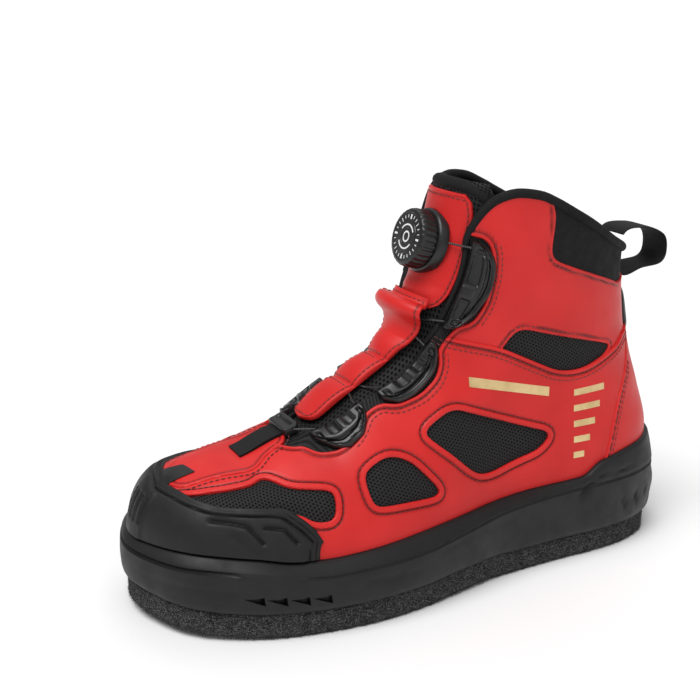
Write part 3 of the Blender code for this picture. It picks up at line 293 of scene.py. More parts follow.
def plan_distance(points, outline):
    """Distance from points to a closed outline, negative inside."""
    nearest = np.full(len(points), 1e9)
    inside = np.zeros(len(points), bool)
    for start, end in zip(outline, np.roll(outline, -1, 0)):
        nearest = np.minimum(nearest, (from_segment(points, start, end)[1]**2).sum(1))
        spans = (start[1] > points[:, 1]) != (end[1] > points[:, 1])
        if start[1] != end[1]:
            edge = end - start
            crossing = start[0] + (points[:, 1] - start[1]) / edge[1] * edge[0]
            inside ^= spans & (points[:, 0] < crossing)
    return np.where(inside, -1, 1) * np.sqrt(nearest)


# Distance to the upper's outline, worked out once on an even grid and read between its points
MAP_STEP = 0.5 * MM
MAP_X = np.arange(-90 * MM, 90.01 * MM, MAP_STEP)
MAP_Y = np.arange(-190 * MM, 195.01 * MM, MAP_STEP)
_across, _along = np.meshgrid(MAP_X, MAP_Y, indexing="ij")
OUTLINE_MAP = plan_distance(np.stack([_across.ravel(), _along.ravel()], 1),
                            plan(UPPER_INSET)[::2]).reshape(_across.shape)


def outline_distance(x, y):
    """Distance to the upper's outline, negative inside."""
    u = np.clip((x - MAP_X[0]) / MAP_STEP, 0, len(MAP_X) - 1.001)
    v = np.clip((y - MAP_Y[0]) / MAP_STEP, 0, len(MAP_Y) - 1.001)
    i = u.astype(int)
    j = v.astype(int)
    u = u - i
    v = v - j
    return ((OUTLINE_MAP[i, j] * (1 - u) + OUTLINE_MAP[i + 1, j] * u) * (1 - v)
            + (OUTLINE_MAP[i, j + 1] * (1 - u) + OUTLINE_MAP[i + 1, j + 1] * u) * v)


def form(points):
    """Positive outside and negative inside the worn shape of the upper, close to a distance."""
    x, y, z = points.T
    along = to_along(y)
    edge = -outline_distance(x, y)
    rounding = np.interp(along, DOME["along"], DOME["round"]) * BALL_WIDTH / 2
    power = smooth(DOME["along"], DOME["power"], along)
    top = smooth(RIDGE["along"], RIDGE["height"], along) * INSTEP_HEIGHT
    out = np.maximum(0, 1 - edge / rounding)
    up = np.maximum(0, (z - FOOT_FLOOR) / top)
    foot = ((out**power + up**power)**(1 / power) - 1) * BALL_WIDTH * 0.4
    level = (z - FOOT_FLOOR) / SHAFT_HEIGHT
    back = to_y(smooth(SHAFT["height"], SHAFT["back"], level))
    front = to_y(smooth(SHAFT["height"], SHAFT["front"], level))
    width = smooth(SHAFT["height"], SHAFT["width"], level) * HEEL_WIDTH / 2
    deep = np.abs(y - (back + front) / 2) / ((back - front) / 2)
    wide = np.abs(x) / width
    shaft = ((wide**SHAFT_POWER + deep**SHAFT_POWER)**(1 / SHAFT_POWER) - 1) * width
    mix = np.clip(0.5 + 0.5 * (shaft - foot) / ANKLE_BLEND, 0, 1)
    return shaft * (1 - mix) + foot * mix - ANKLE_BLEND * mix * (1 - mix)


def gradient(points):
    """Direction and steepness in which the form grows."""
    step = 0.5 * MM
    result = np.empty_like(points)
    for axis in range(3):
        shift = np.zeros(3)
        shift[axis] = step
        result[:, axis] = (form(points + shift) - form(points - shift)) / (2 * step)
    return result


def normals(points):
    """Outward unit normals of the form."""
    return unit(gradient(points))


def settle(points, offset=0.0, locked=None, rounds=7):
    """Move points onto the form, or a small offset outside it. A locked axis keeps its value."""
    points = np.array(points, float)
    for _ in range(rounds):
        steep = gradient(points)
        miss = form(points) - offset * np.linalg.norm(steep, axis=1)
        way = steep.copy()
        if locked is not None:
            way[:, locked] = 0
        points -= way * (miss / (way * steep).sum(1).clip(1e-6))[:, None]
    return points


def cast(origins, directions, near, far):
    """Find where rays leave the form, by halving between a near and a far distance."""
    low = np.full(len(origins), near)
    high = np.full(len(origins), far)
    for _ in range(22):
        middle = (low + high) / 2
        outside = form(origins + directions * middle[:, None]) > 0
        high = np.where(outside, middle, high)
        low = np.where(outside, low, middle)
    return origins + directions * low[:, None]


def lift(along):
    """Height of the felt's underside over the ground: toe spring, arch and heel spring."""
    along = np.asarray(along, float)
    toe = TOE_SPRING * np.clip((0.27 - along) / 0.27, 0, 1)**2
    arch = ARCH_RAISE * ease(0.42, 0.50, along) * (1 - ease(0.56, 0.64, along))
    heel = HEEL_SPRING * np.clip((along - 0.93) / 0.07, 0, 1)**2
    return toe + arch + heel


def felt_top(along):
    """Height of the felt's upper face."""
    return lift(along) + FELT_THICKNESS


def cup_floor(along):
    """Height of the floor of the cup that the upper stands in."""
    return FOOT_FLOOR - 1.5 * MM + HEEL_LIFT * ease(0.35, 0.75, along)


def groove_height(along):
    return FOOT_FLOOR + smooth(SIDE["along"], SIDE["groove"], along) * RIM_HEIGHT


def rim_height(along):
    return FOOT_FLOOR + smooth(SIDE["along"], SIDE["rim"], along) * RIM_HEIGHT


def station_loop(inset, height, offset=None, stations=33, tip=0.008):
    """Loop round the sole: toe to heel on the lateral side, then back on the medial side."""
    outline = plan(inset)
    toe = outline[:, 1].argmin()
    heel = outline[:, 1].argmax()
    outline = np.roll(outline, -toe, 0)
    heel = (heel - toe) % len(outline)
    sides = (outline[:heel + 1], np.concatenate([outline[heel:], outline[:1]])[::-1])
    halves = []
    for side in sides:
        reach = walked(side)
        even = np.linspace(tip, 1 - tip, stations + 1) * reach[-1]
        halves.append(read_line(side, reach, even))
    flat = np.concatenate([halves[0], halves[1][::-1]])
    loop = np.column_stack([flat, height(to_along(flat[:, 1]))])
    if offset is None:
        return loop
    return settle(loop, offset, locked=2)


def front_line():
    """Middle line of the boot's front with the distance up to each of its points."""
    share = np.linspace(0, 1, 61)
    rows = np.linspace(0, 1, len(FRONT["along"]))
    y = to_y(smooth(rows, FRONT["along"], share))
    z = FOOT_FLOOR + smooth(rows, FRONT["height"], share) * SHAFT_HEIGHT
    line = settle(np.stack([np.zeros_like(y), y, z], 1), locked=0)
    return line, walked(line)


FRONT_LINE, FRONT_REACH = front_line()


def front_point(up, side, offset=0.0):
    """Points on the boot's front: a share of the way up it, and the way round to the side."""
    up, side = np.broadcast_arrays(np.asarray(up, float), np.asarray(side, float))
    reach = up * FRONT_REACH[-1]
    before, line, after = (read_line(FRONT_LINE, FRONT_REACH, reach + step)
                           for step in (-FRONT_SPAN, 0, FRONT_SPAN))
    ahead = unit(after - before)
    outward = np.stack([np.zeros_like(side), -ahead[:, 2], ahead[:, 1]], 1)
    axis = line - outward * WRAP_RADIUS
    spread = outward * np.cos(side)[:, None]
    spread[:, 0] += np.sin(side)
    base = cast(axis, spread, *FRONT_CAST)
    if np.ndim(offset) or offset:
        base = base + normals(base) * np.broadcast_to(offset, len(base))[:, None]
    return base


def side_point(along, height, sign):
    """Points on the side of the boot, given along the sole and above the foot floor."""
    along = np.asarray(along, float)
    height = np.broadcast_to(height, along.shape)
    origin = np.stack([np.zeros_like(along), to_y(along), FOOT_FLOOR + height], 1)
    way = np.zeros_like(origin)
    way[:, 0] = sign
    return cast(origin, way, 0.0, BALL_WIDTH)


def shaft_point(turn, height):
    """Points round the shaft, given in degrees from its front and above the foot floor."""
    angle = np.radians(np.asarray(turn, float))
    height = np.broadcast_to(height, angle.shape)
    origin = np.stack([np.zeros_like(angle), np.full_like(angle, to_y(SHAFT_AXIS)),
                       FOOT_FLOOR + height], 1)
    way = np.stack([np.sin(angle), -np.cos(angle), np.zeros_like(angle)], 1)
    return cast(origin, way, 2 * MM, SOLE_LENGTH / 2)


def top_edge():
    """The upper's top edge, up the throat and round the collar, with each point's share of it."""
    throat = front_point(THROAT["up"], THROAT["side"])
    collar = shaft_point(COLLAR["turn"], COLLAR["height"] * SHAFT_HEIGHT)
    edge = np.concatenate([throat, collar])
    reach = walked(edge)
    return edge, reach / reach[-1]


def edge_at(share):
    """Points of the top edge at shares of its length."""
    edge, reach = top_edge()
    return np.stack([smooth(reach, row, share) for row in edge.T], 1)


def drape_grid(bottom, top, rings):
    """Even grid of points on the form between a level bottom row and a top row."""
    t = np.linspace(0, 1, rings + 1)[:, None, None] * np.pi / 2
    flat = top[None, :, :2] + (bottom - top)[None, :, :2] * np.cos(t)
    tall = bottom[None, :, 2:] + (top - bottom)[None, :, 2:] * np.sin(t)
    grid = np.concatenate([flat, tall], 2)
    grid[1:-1] = settle(grid[1:-1].reshape(-1, 3)).reshape(grid[1:-1].shape)
    steps = np.linalg.norm(np.diff(grid, axis=0), axis=2)
    reach = np.concatenate([np.zeros((1, grid.shape[1])), np.cumsum(steps, 0)])
    for column in range(grid.shape[1]):
        even = np.linspace(0, reach[-1, column], rings + 1)
        for k in range(3):
            grid[:, column, k] = np.interp(even, reach[:, column], grid[:, column, k].copy())
    grid[1:-1] = settle(grid[1:-1].reshape(-1, 3), rounds=3).reshape(grid[1:-1].shape)
    return grid


# Meshes of triangles that carry fields of numbers
def grid_triangles(rows, columns, closed=False):
    """Triangles of a grid of points. A closed grid joins its last column to its first."""
    r, c = np.meshgrid(np.arange(rows - 1), np.arange(columns if closed else columns - 1),
                       indexing="ij")
    a = r * columns + c
    b = r * columns + (c + 1) % columns
    quads = np.stack([a, b, b + columns, a + columns], -1).reshape(-1, 4)
    return np.concatenate([quads[:, [0, 1, 2]], quads[:, [0, 2, 3]]])


def split(mesh, name, level):
    """Cut a mesh of triangles along a level of one of its fields and keep both sides."""
    value = mesh[name] - level
    value[np.abs(value) < 0.02 * MM] = 0
    mesh[name] = value + level
    faces = mesh["faces"]
    here = value[faces]
    there = value[np.roll(faces, -1, 1)]
    crossing = here * there < 0
    rows = np.nonzero(crossing.any(1))[0]
    if not len(rows):
        return mesh
    pairs = np.stack([faces, np.roll(faces, -1, 1)], -1)[crossing]
    pairs.sort(axis=1)
    unique, inverse = np.unique(pairs, axis=0, return_inverse=True)
    count = len(mesh["at"])
    middle = np.full(faces.shape, -1)
    middle[crossing] = count + inverse.ravel()
    weight = value[unique[:, 0]] / (value[unique[:, 0]] - value[unique[:, 1]])
    for key, data in mesh.items():
        if key != "faces":
            shape = (-1,) + (1,) * (data.ndim - 1)
            w = weight.reshape(shape)
            added = data[unique[:, 0]] * (1 - w) + data[unique[:, 1]] * w
            mesh[key] = np.concatenate([data, added])
    kept = [faces[~crossing.any(1)]]
    number = crossing.sum(1)
    for k in range(3):
        two = (number == 2) & ~crossing[:, k]
        a, b, c = faces[two, (k + 2) % 3], faces[two, k], faces[two, (k + 1) % 3]
        ab, ca = middle[two, (k + 2) % 3], middle[two, (k + 1) % 3]
        kept += [np.stack([a, ab, ca], 1), np.stack([ab, b, c], 1), np.stack([ab, c, ca], 1)]
        one = (number == 1) & crossing[:, k]
        a, b, c = faces[one, (k + 2) % 3], faces[one, k], faces[one, (k + 1) % 3]
        m = middle[one, k]
        kept += [np.stack([a, b, m], 1), np.stack([a, m, c], 1)]
    mesh["faces"] = np.concatenate(kept)
    return mesh


def keep(mesh, name, level=0.0):
    """Keep the side of a mesh where a field is above a level, with a crisp edge."""
    mesh = split(dict(mesh), name, level)
    chosen = mesh["faces"][(mesh[name][mesh["faces"]].mean(1) > level)]
    used, inverse = np.unique(chosen, return_inverse=True)
    return {key: inverse.reshape(chosen.shape) if key == "faces" else data[used]
            for key, data in mesh.items()}


def border(faces):
    """Edges that belong to one face only, in that face's direction."""
    edges = np.concatenate([faces[:, [0, 1]], faces[:, [1, 2]], faces[:, [2, 0]]])
    key = np.sort(edges, 1)
    _, inverse, count = np.unique(key, axis=0, return_inverse=True, return_counts=True)
    return edges[count[inverse.ravel()] == 1]


# Past this share of a closed line's own reach, squared, no point lies inside it
FAR_OFF = 1.8


def line_distance(points, out, line, closed=True):
    """Distance to a line that lies on the surface. It is negative inside a closed line, and on
    the right of an open one for someone who walks along it outside the surface."""
    line = np.asarray(line, float)
    ends = np.roll(line, -1, 0) if closed else line[1:]
    starts = line if closed else line[:-1]
    nearest = np.full(len(points), 1e9)
    side = np.ones(len(points))
    for start, end in zip(starts, ends):
        apart = from_segment(points, start, end)[1]
        square = (apart**2).sum(1)
        closer = square < nearest
        nearest = np.where(closer, square, nearest)
        side = np.where(closer, (np.cross(out, end - start) * apart).sum(1), side)
    distance = np.sqrt(nearest) * np.where(side < 0, -1, 1)
    if closed:
        middle = settle(line.mean(0)[None])[0]
        square = ((points - middle)**2).sum(1)
        if distance[square.argmin()] > 0:
            distance = -distance
        far = square > FAR_OFF * ((line - middle)**2).sum(1).max()
        distance = np.where(far, np.abs(distance), distance)
    return distance


def rounded(points, radius, steps=6, closed=True):
    """Round the corners of a line of points and walk evenly along what lies between them."""
    points = np.asarray(points, float)
    count = len(points)
    result = []
    for i in range(count):
        if not closed and i in (0, count - 1):
            result.append(points[i][None])
            continue
        here, before, after = points[i], points[i - 1], points[(i + 1) % count]
        back, on = before - here, after - here
        a = here + back * min(0.48, radius / np.linalg.norm(back))
        b = here + on * min(0.48, radius / np.linalg.norm(on))
        t = np.linspace(0, 1, steps)[:, None]
        result.append(a * (1 - t)**2 + 2 * here * t * (1 - t) + b * t**2)
    return np.concatenate(result)


def resample(line, step, closed=False):
    """Points an even step apart along a line."""
    line = np.asarray(line, float)
    if closed:
        line = np.concatenate([line, line[:1]])
    reach = walked(line)
    even = np.linspace(0, reach[-1], max(2, int(round(reach[-1] / step)) + 1))
    return read_line(line, reach, even[:-1] if closed else even)


def on_form(line, step=1.5 * MM, closed=True):
    """Points an even step apart along a line, laid on the form."""
    return settle(resample(line, step, closed))


def mirror(line):
    """The same points on the other side of the boot."""
    return line * np.array([-1, 1, 1])


# Objects
def add_piece(name, vertices, faces, materials, sharp=38, fields=None, uv=None,
              which=None, replaces=()):
    """Make one smooth piece that rides on the boot, with named numbers at its vertices."""
    mesh = bpy.data.meshes.new(name)
    vertices = np.asarray(vertices, float) + SHIFT
    faces = [tuple(int(i) for i in f) for f in faces]
    mesh.from_pydata(vertices.tolist(), [], faces)
    for key, data in (fields or {}).items():
        layer = mesh.attributes.new(key, "FLOAT", "POINT")
        layer.data.foreach_set("value", np.asarray(data, np.float32))
    if uv is not None:
        layer = mesh.uv_layers.new(name="cloth")
        corner = np.empty(len(mesh.loops), int)
        mesh.loops.foreach_get("vertex_index", corner)
        layer.data.foreach_set("uv", np.asarray(uv, np.float32)[corner].ravel())
    for material in materials if isinstance(materials, (list, tuple)) else [materials]:
        mesh.materials.append(material)
    if which is not None:
        mesh.polygons.foreach_set("material_index", np.asarray(which, np.int32))
    mesh.shade_smooth()
    if sharp:
        mesh.set_sharp_from_angle(angle=math.radians(sharp))
    mesh.update()
    piece = bpy.data.objects.new(name, mesh)
    bpy.context.collection.objects.link(piece)
    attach(piece, "root")
    if replaces:
        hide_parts(*replaces)
    return piece


def overlay(name, mesh, high, low, materials, fields=None, which=None, uv=None,
            replaces=(), sharp=38):
    """Sheet on the form: its top at the high offset, with walls down to the low one."""
    at, out, faces = mesh["at"], mesh["out"], mesh["faces"]
    count = len(at)
    top = at + out * np.broadcast_to(high, count)[:, None]
    under = at + out * np.broadcast_to(low, count)[:, None]
    edges = border(faces)
    rim = np.unique(edges)
    place = np.full(count, -1)
    place[rim] = count + np.arange(len(rim))
    walls = np.stack([edges[:, 1], edges[:, 0], place[edges[:, 0]], place[edges[:, 1]]], 1)
    all_faces = [tuple(f) for f in faces] + [tuple(w) for w in walls]
    vertices = np.concatenate([top, under[rim]])
    data = {key: np.concatenate([mesh[key], mesh[key][rim]]) for key in (fields or ())}
    marks = None if which is None else np.concatenate([which, np.zeros(len(walls), int)])
    cloth = None if uv is None else np.concatenate([mesh[uv], mesh[uv][rim]])
    return add_piece(name, vertices, all_faces, materials, sharp, data, cloth, marks,
                     replaces)


def ring_faces(count, sides, start=0, flip=False):
    """Faces between rings of points that follow one another, turned over by flip."""
    faces = []
    for a in range(start, start + (count - 1) * sides, sides):
        for i in range(sides):
            j = (i + 1) % sides
            near, far = (a + i, a + j), (a + sides + j, a + sides + i)
            faces.append((near[0], far[1], far[0], near[1]) if flip else near + far)
    return faces


def closed_rings(count, sides, start=0, flip=False):
    """Faces between rings of points, with the first and the last ring closed."""
    last = start + (count - 1) * sides
    caps = [range(start + sides - 1, start - 1, -1), range(last, last + sides)]
    if flip:
        caps = [cap[::-1] for cap in caps]
    return ring_faces(count, sides, start, flip) + [tuple(cap) for cap in caps]


def add_tubes(name, paths, radius, sides, material, replaces=(), sharp=80, out=None):
    """Round tubes along paths, joined in one mesh. Each ring keeps one side outward."""
    vertices, faces, cloth = [], [], []
    turns = circle_turns(sides)
    for path in paths:
        ahead = unit(np.gradient(path, axis=0))
        cross = unit(np.cross(ahead, normals(path) if out is None else out))
        other = np.cross(cross, ahead)
        size = np.broadcast_to(radius, len(path))[:, None, None]
        rings = path[:, None] + size * (cross[:, None] * np.cos(turns)[None, :, None]
                                        + other[:, None] * np.sin(turns)[None, :, None])
        faces += closed_rings(len(path), sides, sum(len(part) for part in vertices))
        vertices.append(rings.reshape(-1, 3))
        girth = np.mean(radius) * turns
        cloth.append(np.stack(np.broadcast_arrays(walked(path)[:, None], girth[None]),
                              -1).reshape(-1, 2))
    return add_piece(name, np.concatenate(vertices), faces, material, sharp, None,
                     np.concatenate(cloth), None, replaces)


class Stitches:
    """Short raised threads along lines, gathered into one mesh for each kind of thread."""

    def __init__(self):
        self.vertices = []
        self.faces = []
        self.count = 0

    def run(self, line, offset, length=2.1 * MM, pitch=2.9 * MM, radius=0.28 * MM, closed=False,
            out=None, sink=0.45):
        """Stitch a line on the form at an offset from it."""
        points = resample(line, pitch / 2, closed)
        if out is None:
            points = settle(points, rounds=3)
            out = normals(points)
            points = points + out * wrinkles(points)[:, None]
        else:
            near = [((out[0] - point)**2).sum(1).argmin() for point in points]
            out = out[1][near]
        points = points + out * offset
        total = len(points)
        last = total if closed else total - 1
        for i in range(0, last - 1, 2):
            a, b = points[i], points[(i + 1) % total]
            n = out[i]
            way = unit(b - a)
            middle = (a + b) / 2
            cross = np.cross(way, n)
            rings = []
            for t, r in ((-1, 0.35), (-0.7, 0.85), (0, 1), (0.7, 0.85), (1, 0.35)):
                centre = middle + way * t * length / 2 + n * radius * (0.6 * r - sink)
                rings += [centre + radius * r * (cross * math.cos(angle) + n * math.sin(angle))
                          for angle in circle_turns(5)]
            self.vertices += rings
            self.faces += closed_rings(5, 5, self.count)
            self.count += 25

    def make(self, name, material):
        return add_piece(name, np.array(self.vertices), self.faces, material, 80)


# Materials
class Finish:
    """A node material whose colour, roughness and bumps come from procedural patterns."""

    def __init__(self, name, colour, roughness, metallic=0.0, **sockets):
        self.material = bpy.data.materials.new(name)
        self.material.use_nodes = True
        self.tree = self.material.node_tree
        self.shader = self.tree.nodes["Principled BSDF"]
        sockets.update(Base_Color=(*colour, 1), Roughness=roughness, Metallic=metallic)
        for key, value in sockets.items():
            self.shader.inputs[key.replace("_", " ")].default_value = value
        self.place = self.add("ShaderNodeTexCoord").outputs["Object"]
        self.normal = None

    def add(self, kind, inputs=(), **settings):
        """Add a node. Inputs are values or sockets, by place or by name."""
        node = self.tree.nodes.new(kind)
        for key, value in settings.items():
            setattr(node, key, value)
        for key, value in (inputs.items() if isinstance(inputs, dict) else enumerate(inputs)):
            if value is None:
                continue
            if isinstance(value, bpy.types.NodeSocket):
                self.tree.links.new(value, node.inputs[key])
            else:
                node.inputs[key].default_value = value
        return node

    def noise(self, scale, detail=3.0, rough=0.55, place=None):
        return self.add("ShaderNodeTexNoise", {"Vector": place or self.place, "Scale": scale,
                                               "Detail": detail, "Roughness": rough}).outputs[0]

    def cells(self, scale, feature="F1"):
        return self.add("ShaderNodeTexVoronoi", {"Vector": self.place, "Scale": scale,
                                                 "Randomness": 1.0},
                        feature=feature).outputs["Distance"]

    def math(self, operation, a, b=None):
        return self.add("ShaderNodeMath", (a, b), operation=operation).outputs[0]

    def fit(self, value, low, high, to_low=0.0, to_high=1.0):
        return self.add("ShaderNodeMapRange", {"Value": value, "From Min": low, "From Max": high,
                                               "To Min": to_low, "To Max": to_high}).outputs[0]

    def stretch(self, scale):
        return self.add("ShaderNodeMapping", {"Vector": self.place, "Scale": scale}).outputs[0]

    def blend(self, factor, a, b):
        """Mix two colours, each given as numbers or as a socket."""
        a, b = (tone if isinstance(tone, bpy.types.NodeSocket) else (*tone, 1) for tone in (a, b))
        return self.add("ShaderNodeMix", {"Factor": factor, 6: a, 7: b},
                        data_type="RGBA").outputs[2]

    def field(self, name):
        return self.add("ShaderNodeAttribute", attribute_name=name).outputs["Fac"]

    def bump(self, height, distance, strength=1.0):
        node = self.add("ShaderNodeBump", {"Height": height, "Distance": distance,
                                           "Strength": strength, "Normal": self.normal})
        self.normal = node.outputs[0]
        self.tree.links.new(self.normal, self.shader.inputs["Normal"])

    def colour(self, socket):
        self.tree.links.new(socket, self.shader.inputs["Base Color"])

    def roughness(self, socket):
        self.tree.links.new(socket, self.shader.inputs["Roughness"])

    def two_tone(self, dark, light, scale, detail=3):
        """Colour that wanders between two tones."""
        self.colour(self.blend(self.fit(self.noise(scale, detail), 0.3, 0.7), dark, light))

    def gloss(self, low, high, scale, detail=3, rough=0.55):
        """Roughness that wanders between two values."""
        self.roughness(self.fit(self.noise(scale, detail, rough), 0.3, 0.7, low, high))

    def grain(self, depth, strength, scale, detail=3, rough=0.55):
        """Bumps from noise."""
        self.bump(self.noise(scale, detail, rough), depth * MM, strength)

    def cloth_place(self):
        return self.add("ShaderNodeUVMap", uv_map="cloth").outputs[0]

    def mesh_holes(self, pitch):
        """Height of an open mesh on a hexagonal lattice, low in its holes."""
        place = self.add("ShaderNodeSeparateXYZ", (self.cloth_place(),))
        u, v = place.outputs[0], place.outputs[1]
        total = 0.0
        waves = 2 * math.pi / pitch
        for angle in np.radians((0, 60, 120)):
            way = self.math("ADD", self.math("MULTIPLY", u, waves * math.cos(angle)),
                            self.math("MULTIPLY", v, waves * math.sin(angle)))
            total = self.math("ADD", self.math("COSINE", way), total)
        return self.fit(total, 2.4, 0.2)


def red_leather():
    f = Finish("red_leather", RED_LIGHT, 0.5, Specular_IOR_Level=0.24, Coat_Weight=0.03,
               Coat_Roughness=0.4)
    tone = f.blend(f.fit(f.noise(26, 2), 0.3, 0.7), (0.54, 0.015, 0.014), (0.64, 0.023, 0.021))
    # Painted shade: the groove field darkens the leather in its sewn grooves, where shade falls
    tone = f.blend(f.field("groove"), tone, RED_GROOVE_SHADE)
    dust = f.fit(f.noise(420, 4, 0.7), 0.62, 0.80, 0.0, 0.10)
    f.colour(f.blend(dust, tone, (0.70, 0.09, 0.08)))
    f.gloss(0.36, 0.50, 60, 4)
    f.bump(f.cells(950), 0.05 * MM, 0.35)
    f.grain(0.10, 0.5, 300, 5, 0.6)
    f.grain(0.5, 0.35, 45, 2)
    return f.material


def mesh_cloth(name, pitch, depth, light):
    f = Finish(name, (0.008, 0.008, 0.009), 0.8, Specular_IOR_Level=0.14)
    height = f.mesh_holes(pitch)
    threads = f.math("MULTIPLY", height, f.fit(f.noise(900, 3), 0.3, 0.7, 0.7, 1.0))
    f.colour(f.blend(threads, (0.0008, 0.0008, 0.0008), (light, light, light * 1.04)))
    f.roughness(f.fit(height, 0, 1, 0.95, 0.62))
    f.bump(height, depth, 0.9)
    f.grain(0.08, 0.5, 1600)
    return f.material


def knit_lining():
    f = Finish("lining", (0.016, 0.016, 0.017), 0.9, Specular_IOR_Level=0.2, Sheen_Weight=0.08)
    ribs = f.add("ShaderNodeTexWave", {"Vector": f.cloth_place(), "Scale": 260.0,
                                       "Distortion": 1.2, "Detail": 2.0}).outputs["Fac"]
    f.two_tone((0.010, 0.010, 0.011), (0.026, 0.026, 0.028), 700)
    f.bump(ribs, 0.12 * MM, 0.5)
    f.grain(0.12, 0.6, 1200, 4)
    return f.material


def smooth_cloth():
    f = Finish("neoprene", (0.009, 0.009, 0.010), 0.75, Specular_IOR_Level=0.17)
    f.two_tone((0.006, 0.006, 0.0065), (0.013, 0.013, 0.014), 1500)
    f.gloss(0.68, 0.85, 200)
    f.bump(f.cells(1900), 0.05 * MM, 0.5)
    f.grain(0.4, 0.3, 70, 2)
    return f.material


def webbing():
    f = Finish("webbing", (0.012, 0.012, 0.013), 0.7, Specular_IOR_Level=0.2)
    place = f.cloth_place()
    across, along = (f.add("ShaderNodeTexWave", {"Vector": place, "Scale": scale},
                           bands_direction=way).outputs["Fac"]
                     for scale, way in ((560.0, "X"), (420.0, "Y")))
    weave = f.math("MULTIPLY", across, along)
    f.colour(f.blend(weave, (0.005, 0.005, 0.0055), (0.024, 0.024, 0.025)))
    f.bump(weave, 0.14 * MM, 0.6)
    f.grain(0.06, 0.5, 1500)
    return f.material


def black_rubber():
    f = Finish("black_rubber", (0.008, 0.008, 0.009), 0.5, Specular_IOR_Level=0.34)
    patches = f.fit(f.noise(35, 4, 0.6), 0.3, 0.7)
    tone = f.blend(patches, (0.0045, 0.0045, 0.005), (0.009, 0.009, 0.0095))
    # Painted shade: the groove field darkens the rubber in its grooves, carvings and hollows
    tone = f.blend(f.field("groove"), tone, (0.0012, 0.0012, 0.0012))
    dust = f.fit(f.noise(900, 4, 0.7), 0.66, 0.82, 0.0, 0.35)
    f.colour(f.blend(dust, tone, (0.034, 0.034, 0.034)))
    f.gloss(0.44, 0.62, 90, 4, 0.6)
    f.grain(0.05, 0.6, 1400, 4, 0.6)
    f.grain(0.4, 0.2, 60)
    return f.material


def tread_rubber():
    f = Finish("tread_rubber", (0.018, 0.018, 0.019), 0.5)
    veins = f.cells(300, "DISTANCE_TO_EDGE")
    f.colour(f.blend(f.fit(veins, 0.0, 0.25), (0.002, 0.002, 0.002), (0.014, 0.014, 0.0145)))
    f.gloss(0.35, 0.6, 300)
    f.bump(f.fit(veins, 0.0, 0.22), 0.9 * MM, 0.9)
    f.grain(0.1, 0.6, 900, 4)
    return f.material


def black_plastic():
    f = Finish("black_plastic", (0.012, 0.012, 0.013), 0.3, Specular_IOR_Level=0.45)
    f.two_tone((0.005, 0.005, 0.0055), (0.010, 0.010, 0.011), 80)
    f.gloss(0.26, 0.42, 150, 4)
    f.grain(0.03, 0.5, 2200)
    return f.material


def felt():
    f = Finish("felt", (0.03, 0.03, 0.03), 0.95, Specular_IOR_Level=0.12)
    fibre = f.noise(1100, 6, 0.75, f.stretch((1, 0.6, 1.5)))
    blotch = f.noise(240, 4, 0.7)
    tone = f.blend(f.fit(fibre, 0.40, 0.66), (0.005, 0.005, 0.005), (0.13, 0.13, 0.13))
    tone = f.blend(f.fit(blotch, 0.35, 0.70, 0.0, 0.75), tone, (0.010, 0.010, 0.010))
    specks = f.fit(f.cells(1500), 0.14, 0.25, 0.85, 0.0)
    f.colour(f.blend(specks, tone, (0.42, 0.42, 0.42)))
    f.bump(fibre, 0.7 * MM, 1.0)
    f.grain(0.25, 0.8, 2600, 4, 0.7)
    return f.material


def steel():
    f = Finish("stud_metal", (0.56, 0.56, 0.57), 0.32, 1.0)
    f.gloss(0.24, 0.5, 900, 4)
    f.two_tone((0.42, 0.42, 0.43), (0.66, 0.66, 0.67), 500)
    f.grain(0.05, 0.5, 1800, 4)
    return f.material


def cable():
    f = Finish("lace_cable", (0.085, 0.085, 0.09), 0.38, 0.5)
    twist = f.add("ShaderNodeTexWave", {"Vector": f.cloth_place(), "Scale": 520.0},
                  bands_direction="DIAGONAL").outputs["Fac"]
    f.colour(f.blend(twist, (0.015, 0.015, 0.016), (0.09, 0.09, 0.095)))
    f.bump(twist, 0.15 * MM, 0.8)
    return f.material


def gold_foil():
    f = Finish("gold_print", (0.66, 0.47, 0.21), 0.36, 0.35, Coat_Weight=0.2, Coat_Roughness=0.3)
    f.two_tone((0.58, 0.40, 0.17), (0.74, 0.55, 0.27), 120)
    f.gloss(0.28, 0.46, 300)
    f.bump(f.cells(950), 0.05 * MM, 0.35)
    return f.material


def thread(name, dark, light):
    f = Finish(name, dark, 0.6, Sheen_Weight=0.2)
    f.two_tone(dark, light, 1500, 2)
    f.grain(0.06, 0.6, 3000, 2)
    return f.material


def footbed():
    f = Finish("footbed", (0.03, 0.03, 0.032), 0.9, Sheen_Weight=0.3)
    f.two_tone((0.018, 0.018, 0.019), (0.045, 0.045, 0.048), 800, 4)
    f.bump(f.cells(420), 0.2 * MM, 0.5)
    f.grain(0.1, 0.6, 1500, 4)
    return f.material


def white_print():
    f = Finish("white_print", (0.78, 0.78, 0.78), 0.5)
    f.two_tone((0.70, 0.70, 0.70), (0.85, 0.85, 0.85), 900)
    return f.material


RED = red_leather()
KNIT = mesh_cloth("window_mesh", 1.7 * MM, 0.6 * MM, 0.024)
SPACER = mesh_cloth("tongue_mesh", 2.3 * MM, 0.7 * MM, 0.019)
LINING = knit_lining()
NEOPRENE = smooth_cloth()
WEBBING = webbing()
RUBBER = black_rubber()
TREAD = tread_rubber()
PLASTIC = black_plastic()
FELT = felt()
STEEL = steel()
CABLE = cable()
GOLD = gold_foil()
RED_THREAD = thread("red_thread", (0.075, 0.003, 0.003), (0.16, 0.007, 0.006))
FOOTBED = footbed()
WHITE = white_print()


# The upper
def side_line(rows, sign=1):
    """Line on the side of the boot from rows of (place along the sole, height) in mm."""
    rows = np.array(rows, float)
    return side_point(rows[:, 0], rows[:, 1] * MM - FOOT_FLOOR, sign)


